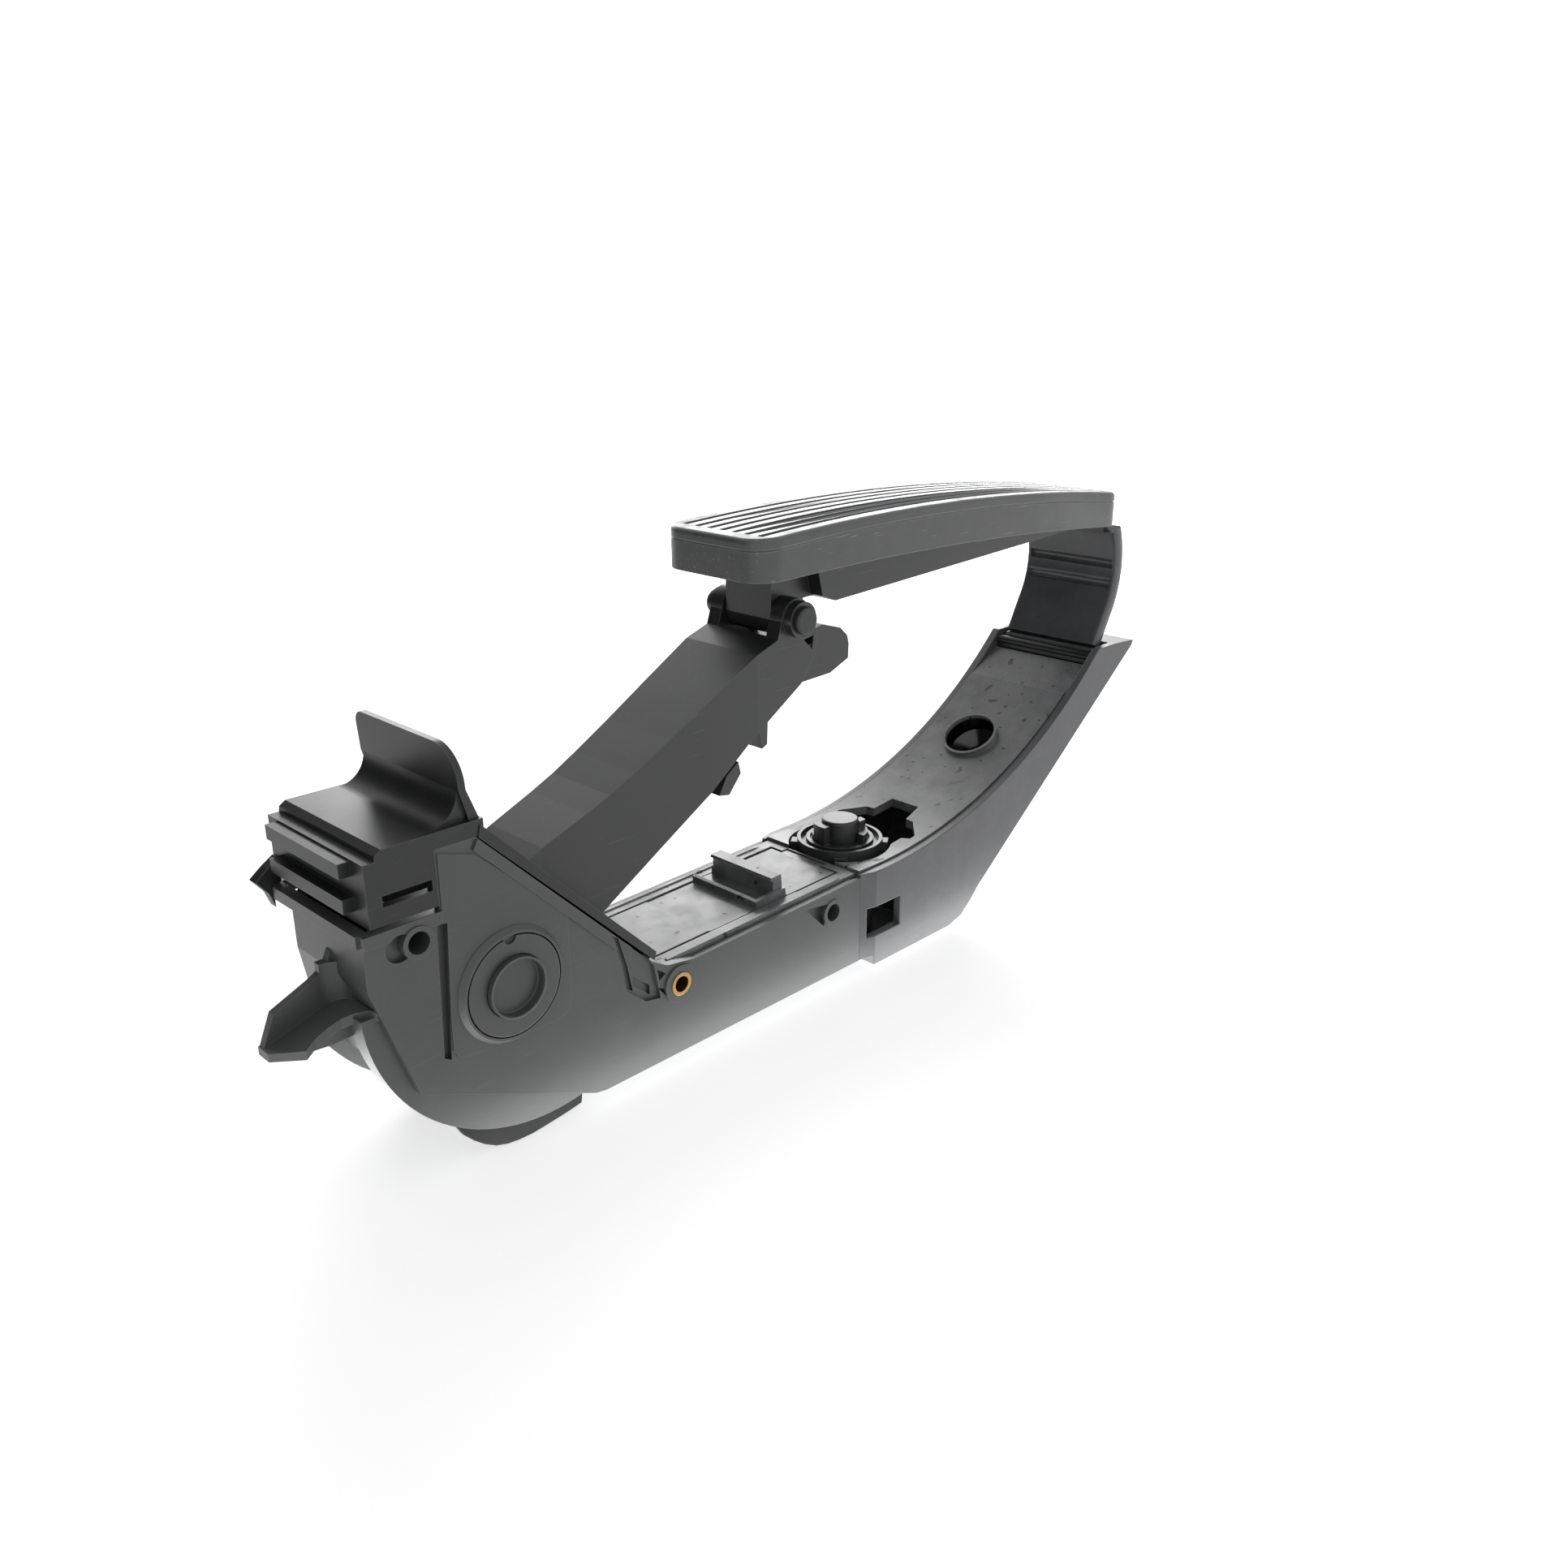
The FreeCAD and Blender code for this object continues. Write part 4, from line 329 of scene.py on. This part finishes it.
def metal(name, colour, second, roughness, mark_spacing=0.0):
    """Two colours that cloud into each other; the spacing of the tool marks is in mm."""
    material = bpy.data.materials.new(name)
    material.use_nodes = True
    tree = material.node_tree
    shader = tree.nodes["Principled BSDF"]
    place = add_node(tree, "ShaderNodeTexCoord").outputs["Object"]
    clouds = add_node(tree, "ShaderNodeTexNoise",
                      inputs={"Vector": place, "Scale": 1000 / METAL_CLOUD, "Detail": 5.0})
    body = add_node(tree, "ShaderNodeMix", {"data_type": "RGBA"},
                    {0: clouds.outputs[0], 6: linear(colour), 7: linear(second)})
    gloss = add_node(tree, "ShaderNodeMapRange",
                     inputs={0: clouds.outputs[0], 1: GLOSS_FROM, 2: GLOSS_FULL,
                             3: roughness - SMOOTHER, 4: roughness + ROUGHER})
    height = clouds.outputs[0]
    if mark_spacing:
        marks = add_node(tree, "ShaderNodeTexWave", {"wave_type": "RINGS", "rings_direction": "Y"},
                         {"Vector": place, "Scale": 2 * math.pi / (WAVE_FACTOR * mark_spacing * MM),
                          "Distortion": WAVE_BEND})
        height = marks.outputs[1]
    relief = add_node(tree, "ShaderNodeBump",
                      inputs={"Height": height, "Strength": RELIEF_STRENGTH,
                              "Distance": RELIEF_DEPTH * MM})
    tree.links.new(body.outputs[2], shader.inputs["Base Color"])
    tree.links.new(gloss.outputs[0], shader.inputs["Roughness"])
    tree.links.new(relief.outputs[0], shader.inputs["Normal"])
    shader.inputs["Metallic"].default_value = 1.0
    return material


brass_turned = metal("brass_turned", "#c9a46a", "#a98450", 0.32, mark_spacing=2.513)
steel_wire = metal("steel_drawn_wire", "#8b8d90", "#6f7174", 0.3)
steel_ground = metal("steel_ground", "#b9bbbe", "#9fa1a4", 0.22)
ferrite = metal("ferrite_sintered", "#4a4a4c", "#3a3a3c", 0.55)
tinned = metal("brass_tinned", "#c9c9c4", "#b4b4ae", 0.28)
metals = (brass_turned, steel_wire, steel_ground, ferrite, tinned)
print("metals:", [finish.name for finish in metals])

# %% [markdown]
# Inside the housing sits the sensor's circuit board: glass cloth in epoxy under a clear lacquer, which is a
# coat over a green body. Its two chips are moulded from dark epoxy and are matt. Board and chips are made
# in a press, so the recipe of the plastics serves for both.

# %% Circuit board and chips
board = moulded("board_coated_glass_epoxy", "#1d4a30", "#25593b", "#3c7a55", 0.3, 0.02,
                cloud_size=6.0, coat=0.4)
chip = moulded("epoxy_chip", "#1b1b1d", "#232325", "#3a3a3c", 0.55, 0.03, cloud_size=3.0)
print("board finishes:", board.name, chip.name)

# %% [markdown]
# Each CAD node gets its finish, and the radius of its softened edges in millimetres. What is hidden in the
# housing, sits in the connector or is wound from wire has 0.0 and stays as CAD made it.

# %% Which piece has which finish
FINISHES = (
    (nylon_tray, {"base_frame": 0.35, "cap_ring": 0.3, "cap_disc": 0.2}),
    (nylon_heel_tray, {"heel_tray": 0.35}),
    (nylon_cover, {"top_cover": 0.3, "sensor_cover": 0.3, "strap_clamp": 0.25, "end_latch": 0.25}),
    (nylon_heel, {"deck_cover": 0.15, "deck_latch": 0.2, "heel_cover": 0.2}),
    (nylon_lip, {"pan_lip_near": 0.25, "pan_lip_far": 0.25}),
    (nylon_lever, {"lever_arm": 0.5, "lever_clip": 0.25, "pedal_plate": 0.3}),
    (acetal_strap, {"strap_root": 0.2, "flex_strap": 0.4}),
    (acetal_black, {"kickdown_ring": 0.25, "kickdown_sleeve": 0.25, "kickdown_plunger": 0.35,
                    "hinge_pin": 0.3, "pin_washer": 0.15}),
    (acetal_natural, {"bearing_near": 0.0, "bearing_far": 0.0, "friction_shoe": 0.0}),
    (rubber_tread, {"rubber_pad": 0.35}),
    (brass_turned, {"bolt_bush": 0.15}),
    (steel_wire, {"return_spring_near": 0.0, "return_spring_far": 0.0, "kickdown_spring": 0.0}),
    (steel_ground, {"lever_shaft": 0.0}),
    (ferrite, {"magnet": 0.0}),
    (tinned, {"connector_pins": 0.0}),
    (board, {"sensor_board": 0.0}),
    (chip, {"hall_chip_a": 0.0, "hall_chip_b": 0.0}),
)
print("CAD nodes with a finish:", sum(len(radii) for finish, radii in FINISHES))

# %% [markdown]
# The CAD solids have knife edges. Real mouldings have a small radius on every outer corner, and that radius
# catches the light as a thin line. A stack of modifiers gives it without touching the CAD mesh: weld the
# vertices that the file format split, join coplanar triangles, bevel what is sharp, and level the normals.
# Three thin parts have deep notches in their flat faces. A joined face folds over such a notch once its rim
# is bevelled, so those three keep their triangles.

# %% Dress the CAD nodes
DEEPLY_NOTCHED = ("deck_cover", "deck_latch", "sensor_cover")
WELD_REACH, FLAT_TURN, SHARP_TURN = 0.002, 0.3, 34


def soften(piece, radius, join_flats):
    """Round the sharp edges of a piece to a radius in mm."""
    weld = piece.modifiers.new("Weld", "WELD")
    weld.merge_threshold = WELD_REACH * MM
    if join_flats:
        flats = piece.modifiers.new("Flats", "DECIMATE")
        flats.decimate_type = "DISSOLVE"
        flats.angle_limit = math.radians(FLAT_TURN)
    edges = piece.modifiers.new("Edges", "BEVEL")
    edges.width = radius * MM
    edges.segments = 2
    edges.limit_method = "ANGLE"
    edges.angle_limit = math.radians(SHARP_TURN)
    edges.miter_outer = "MITER_ARC"
    level = piece.modifiers.new("Normals", "WEIGHTED_NORMAL")
    level.keep_sharp = True


for finish, radii in FINISHES:
    for name, radius in radii.items():
        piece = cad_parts[name]
        piece.data.materials.clear()
        piece.data.materials.append(finish)
        if radius:
            soften(piece, radius, name not in DEEPLY_NOTCHED)
print("CAD nodes with softened edges:", sum(bool(piece.modifiers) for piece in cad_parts.values()))

# %% [markdown]
# Two pieces change their shape when the module works, which a rigid solid can't do: the strap bends and the
# kickdown spring closes up. So they are built again as meshes. Each is a row of rings, joined from one to
# the next like a hose. One function makes the skin over any such row, closes both ends, and keeps the sharp
# edges sharp.

# %% Skin over a row of rings
SKIN_SHARP_TURN = 40


def joined_rings(name, rings, finish):
    """Closed mesh over a row of rings that have equally many points each."""
    skin = bmesh.new()
    corners = [[skin.verts.new(point) for point in ring] for ring in rings]
    for lower, upper in zip(corners, corners[1:]):
        for index in range(len(lower)):
            following = (index + 1) % len(lower)
            skin.faces.new((lower[index], lower[following], upper[following], upper[index]))
    skin.faces.new(corners[0])
    skin.faces.new(list(reversed(corners[-1])))
    bmesh.ops.recalc_face_normals(skin, faces=skin.faces)
    for face in skin.faces:
        face.smooth = True
    for edge in skin.edges:
        edge.smooth = edge.calc_face_angle(0.0) < math.radians(SKIN_SHARP_TURN)
    mesh = bpy.data.meshes.new(name)
    skin.to_mesh(mesh)
    skin.free()
    mesh.materials.append(finish)
    piece = bpy.data.objects.new(name, mesh)
    bpy.context.scene.collection.objects.link(piece)
    return piece


print("edges that turn by", SKIN_SHARP_TURN, "degrees or more stay sharp")

# %% [markdown]
# The strap is a leaf spring of acetal: one thick leaf that bends when the pedal goes down. In CAD it is one
# stiff piece, so here its rings are cross sections of the leaf, set along its middle line. It comes in two
# halves that meet in the bottom of the lower cross groove. The grooves on its inner face are cut by moving
# the points of that face inwards, except at the two thick side edges.

# %% Middle line and grooves of the strap
STRAP_HALF, STRAP_THICK, STRAP_ROUND = 20.4, 5.5, 0.9
BEND_ALONG, BEND_UP, BEND_RADIUS = 298.0, 116.65, 34.3
FOOT, FOOT_SHARES = (320.4, 86.2), (0.0, 0.2, 0.4, 0.6, 0.8)
FOOT_TURN, HEAD_TURN, MEETING_TURN = -33.0, 24.5, -13.0
GROOVE_TURNS, GROOVE_RADIUS, GROOVE_SINK = (1.0, -13.0), 1.7, 0.3


def bend_point(turn):
    angle = math.radians(turn)
    return BEND_ALONG + BEND_RADIUS * math.cos(angle), BEND_UP + BEND_RADIUS * math.sin(angle)


def groove_depth(turn):
    depth = 0.0
    for middle in GROOVE_TURNS:
        away = math.radians(turn - middle) * (BEND_RADIUS - STRAP_THICK / 2)
        if abs(away) < GROOVE_RADIUS:
            depth = max(depth, math.sqrt(GROOVE_RADIUS ** 2 - away ** 2) - GROOVE_SINK)
    return depth


def foot_stations():
    """Stations on the straight foot: place along, height, outward direction and depth of the groove."""
    top = bend_point(FOOT_TURN)
    run, rise = top[0] - FOOT[0], top[1] - FOOT[1]
    length = math.hypot(run, rise)
    outward = (rise / length, -run / length)
    return [(FOOT[0] + run * share, FOOT[1] + rise * share, outward, 0.0) for share in FOOT_SHARES]


def bend_stations(first_turn, last_turn):
    """The same on the bend, one station a degree."""
    stations = []
    count = round(abs(last_turn - first_turn))
    for number in range(count + 1):
        turn = first_turn + (last_turn - first_turn) * number / count
        angle = math.radians(turn)
        stations.append((*bend_point(turn), (math.cos(angle), math.sin(angle)), groove_depth(turn)))
    return stations


bent_length = math.radians(HEAD_TURN - FOOT_TURN) * BEND_RADIUS
print("strap length from foot to head:", round(bent_length + math.dist(FOOT, bend_point(FOOT_TURN)), 1), "mm")

# %% Cross section of the strap
GROOVE_FROM_SIDE, GROOVE_DEEP_FROM = 1.5, 1.7
ROUND_MIDDLE = STRAP_ROUND * 0.3


def strap_section(depth):
    """Points round the leaf: outer face, near edge, inner face with its groove, far edge."""
    out, inside = STRAP_THICK / 2, -STRAP_THICK / 2
    near = [(STRAP_HALF - STRAP_ROUND, out),
            (STRAP_HALF - ROUND_MIDDLE, out - ROUND_MIDDLE),
            (STRAP_HALF, out - STRAP_ROUND),
            (STRAP_HALF, inside + STRAP_ROUND),
            (STRAP_HALF - ROUND_MIDDLE, inside + ROUND_MIDDLE),
            (STRAP_HALF - STRAP_ROUND, inside),
            (STRAP_HALF - GROOVE_FROM_SIDE, inside),
            (STRAP_HALF - GROOVE_DEEP_FROM, inside + depth)]
    far = [(-side, away) for side, away in reversed(near)]
    return [far[-1], (0.0, out)] + near + [(0.0, inside + depth)] + far[:-1]


def strap_rings(stations):
    """One section of the leaf at each station."""
    return [[at(along + outward[0] * away, side, up + outward[1] * away)
             for side, away in strap_section(depth)]
            for along, up, outward, depth in stations]


print("points in each section of the strap:", len(strap_section(0.0)))

# %% Two halves of the strap
lower_stations = foot_stations() + bend_stations(FOOT_TURN, MEETING_TURN)
upper_stations = bend_stations(MEETING_TURN, HEAD_TURN)
strap_lower = joined_rings("strap_lower", strap_rings(lower_stations), acetal_strap)
strap_upper = joined_rings("strap_upper", strap_rings(upper_stations), acetal_strap)
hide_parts("flex_strap")
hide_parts("flex_strap")
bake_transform(strap_lower)
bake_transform(strap_upper)
print("strap faces:", len(strap_lower.data.polygons), "+", len(strap_upper.data.polygons))

# %% [markdown]
# The spring under the kickdown button stands on the heel's floor and pushes on the button. It is wound from
# round wire, so its rings are circles round the wire, set along a helix.

# %% Spring of the kickdown element
COIL_RADIUS, WIRE_RADIUS, COIL_PITCH, COIL_TURNS, COIL_FOOT = 4.6, 0.6, 3.53, 6, 5.9
KICKDOWN_ALONG, STEPS_A_TURN, WIRE_SIDES = 193.5, 28, 10


def coil_ring(number):
    """Circle round the wire after a number of steps up the helix."""
    round_axis = 2 * math.pi * number / STEPS_A_TURN
    height = COIL_FOOT + COIL_PITCH * number / STEPS_A_TURN
    ring = []
    for side in range(WIRE_SIDES):
        round_wire = 2 * math.pi * side / WIRE_SIDES
        reach = COIL_RADIUS + WIRE_RADIUS * math.cos(round_wire)
        ring.append(at(KICKDOWN_ALONG + reach * math.cos(round_axis), reach * math.sin(round_axis),
                       height + WIRE_RADIUS * math.sin(round_wire)))
    return ring


coil_rings = [coil_ring(number) for number in range(COIL_TURNS * STEPS_A_TURN + 1)]
kickdown_coil = joined_rings("kickdown_coil", coil_rings, steel_wire)
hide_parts("kickdown_spring")
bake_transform(kickdown_coil)

# %% [markdown]
# The stage is a white floor in an even, pale room. The room is a little darker overhead than at eye level,
# which gives upright walls a soft gradient. A broad screen far behind draws the sheen on everything that
# lies flat, because a satin skin mirrors what stands opposite the eye. The object stands on a light table:
# a narrow lamp just under it, a little larger than its footprint, faces up and brightens what looks down.
# To the eye, and in every reflection, the room is plain white, and the paper on the floor glows enough to
# look white all round the object's shadow.

# %% Floor
FLOOR_HALF = 6
FLOOR_CORNERS = ((-1, -1), (1, -1), (1, 1), (-1, 1))
PAPER_WHITE, PAPER_GLOW = "#fcfcfc", 0.55
floor_mesh = bpy.data.meshes.new("floor")
floor_mesh.from_pydata([(FLOOR_HALF * along, FLOOR_HALF * side, 0) for along, side in FLOOR_CORNERS],
                       [], [(0, 1, 2, 3)])
floor = bpy.data.objects.new("floor", floor_mesh)
bpy.context.scene.collection.objects.link(floor)
paper = bpy.data.materials.new("paper_white")
paper.use_nodes = True
sheet = paper.node_tree
paper_shader = sheet.nodes["Principled BSDF"]
paper_shader.inputs["Base Color"].default_value = linear(PAPER_WHITE)
paper_shader.inputs["Roughness"].default_value = 0.9
paper_shader.inputs["Specular IOR Level"].default_value = 0.1


def seen_directly(tree):
    """1 for rays that the eye, a mirror or glass sends out, else 0."""
    rays = add_node(tree, "ShaderNodeLightPath")
    first = add_node(tree, "ShaderNodeMath", {"operation": "MAXIMUM"},
                     {0: rays.outputs["Is Camera Ray"], 1: rays.outputs["Is Glossy Ray"]})
    return add_node(tree, "ShaderNodeMath", {"operation": "MAXIMUM"},
                    {0: first.outputs[0], 1: rays.outputs["Is Transmission Ray"]}).outputs[0]


glow = add_node(sheet, "ShaderNodeMath", {"operation": "MULTIPLY"}, {0: seen_directly(sheet), 1: PAPER_GLOW})
lift = add_node(sheet, "ShaderNodeEmission", inputs={"Color": (1, 1, 1, 1), "Strength": glow.outputs[0]})
both = add_node(sheet, "ShaderNodeAddShader", inputs={0: paper_shader.outputs[0], 1: lift.outputs[0]})
sheet.links.new(both.outputs[0], sheet.nodes["Material Output"].inputs["Surface"])
floor_mesh.materials.append(paper)
print("floor is", round(floor.dimensions.x, 1), "m wide")

# %% Room
ROOM_LEVEL, ROOM_OVERHEAD, OVERHEAD_FROM = 0.9, 0.42, 0.9
world = bpy.data.worlds.new("studio")
bpy.context.scene.world = world
world.use_nodes = True
sky = world.node_tree
sky.nodes.clear()
sky_point = add_node(sky, "ShaderNodeTexCoord").outputs["Generated"]
direction = add_node(sky, "ShaderNodeSeparateXYZ", inputs={0: sky_point})
fall = add_node(sky, "ShaderNodeMapRange",
                inputs={0: direction.outputs["Z"], 1: 0.0, 2: OVERHEAD_FROM, 3: ROOM_LEVEL, 4: ROOM_OVERHEAD})
room = add_node(sky, "ShaderNodeBackground", inputs={"Color": (1, 1, 1, 1), "Strength": fall.outputs[0]})
white = add_node(sky, "ShaderNodeBackground", inputs={"Color": (1, 1, 1, 1), "Strength": 1.0})
mixed = add_node(sky, "ShaderNodeMixShader",
                 inputs={0: seen_directly(sky), 1: room.outputs[0], 2: white.outputs[0]})
add_node(sky, "ShaderNodeOutputWorld", inputs={"Surface": mixed.outputs[0]})
print("room shines at", ROOM_LEVEL, "at eye level and", ROOM_OVERHEAD, "overhead")

# %% Lamps


def lamp(name, place, target, width, height, watts):
    """Soft screen that shines from its place towards the target; the eye itself doesn't see it."""
    light = bpy.data.lights.new(name, "AREA")
    light.shape = "RECTANGLE"
    light.size = width
    light.size_y = height
    light.energy = watts
    holder = bpy.data.objects.new(name, light)
    holder.location = place
    holder.rotation_euler = (target - place).to_track_quat("-Z", "Y").to_euler()
    holder.visible_camera = False
    bpy.context.scene.collection.objects.link(holder)


lamp("back_screen", at(860, 780, 420), at(190, 0, 50), width=1.0, height=0.4, watts=7.0)
lamp("light_table", at(150, 0, -1.2), at(150, 0, 300), width=0.44, height=0.078, watts=0.32)

# %% [markdown]
# In plain white surroundings a satin black part looks the same all over. A photographer stands a black
# cloth beside the object, out of the picture, and every face that mirrors it turns dark: here the faces
# that look forwards and a little up, such as the stop fin. It gives no light, and the camera can't see it.

# %% Black cloth beside the object
CLOTH_PLACE, CLOTH_ALONG = Vector((-0.62, 0.55, 0.0)), Vector((0.667, 0.745, 0.0))
CLOTH_HALF, CLOTH_LOW, CLOTH_HIGH = 0.6, 0.002, 1.15
CLOTH_CORNERS = ((-1, CLOTH_LOW), (1, CLOTH_LOW), (1, CLOTH_HIGH), (-1, CLOTH_HIGH))
cloth_mesh = bpy.data.meshes.new("black_cloth")
cloth_mesh.from_pydata([CLOTH_PLACE + CLOTH_ALONG * end * CLOTH_HALF + Vector((0, 0, level))
                        for end, level in CLOTH_CORNERS], [], [(0, 1, 2, 3)])
cloth = bpy.data.objects.new("black_cloth", cloth_mesh)
bpy.context.scene.collection.objects.link(cloth)
cloth.visible_camera = False
velvet = bpy.data.materials.new("velvet_black")
velvet.use_nodes = True
velvet_shader = velvet.node_tree.nodes["Principled BSDF"]
velvet_shader.inputs["Base Color"].default_value = linear("#191919")
velvet_shader.inputs["Roughness"].default_value = 1.0
cloth_mesh.materials.append(velvet)
print("black cloth stands", round(CLOTH_PLACE.length, 2), "m from the object")

# %% [markdown]
# The camera stands where the photograph was taken from: its place, direction and lens were worked out from
# the vanishing points of the module's long edges and from the ellipses of the round cap and the ring.

# %% Camera
CAMERA_PLACE, AZIMUTH, ELEVATION = at(-132.0, -288.2, 218.0), math.radians(-45.9), math.radians(20.3)
SENSOR_WIDTH, FOCAL_PIXELS, PHOTO_PIXELS = 36.0, 1650, 1932
camera_data = bpy.data.cameras.new("camera")
camera = bpy.data.objects.new("camera", camera_data)
bpy.context.scene.collection.objects.link(camera)
backwards = Vector((math.sin(AZIMUTH) * math.cos(ELEVATION), -math.cos(AZIMUTH) * math.cos(ELEVATION),
                    math.sin(ELEVATION)))
camera.location = CAMERA_PLACE
camera.rotation_mode = "QUATERNION"
camera.rotation_quaternion = (-backwards).to_track_quat("-Z", "Y")
camera_data.sensor_width = SENSOR_WIDTH
camera_data.lens = SENSOR_WIDTH * FOCAL_PIXELS / PHOTO_PIXELS
camera_data.clip_start = 0.01
bpy.context.scene.camera = camera
bpy.context.scene.view_settings.view_transform = "Standard"
print("camera at", [round(value, 4) for value in camera.location], "lens", round(camera_data.lens, 2))

# %% Update the scene
bpy.context.view_layer.update()
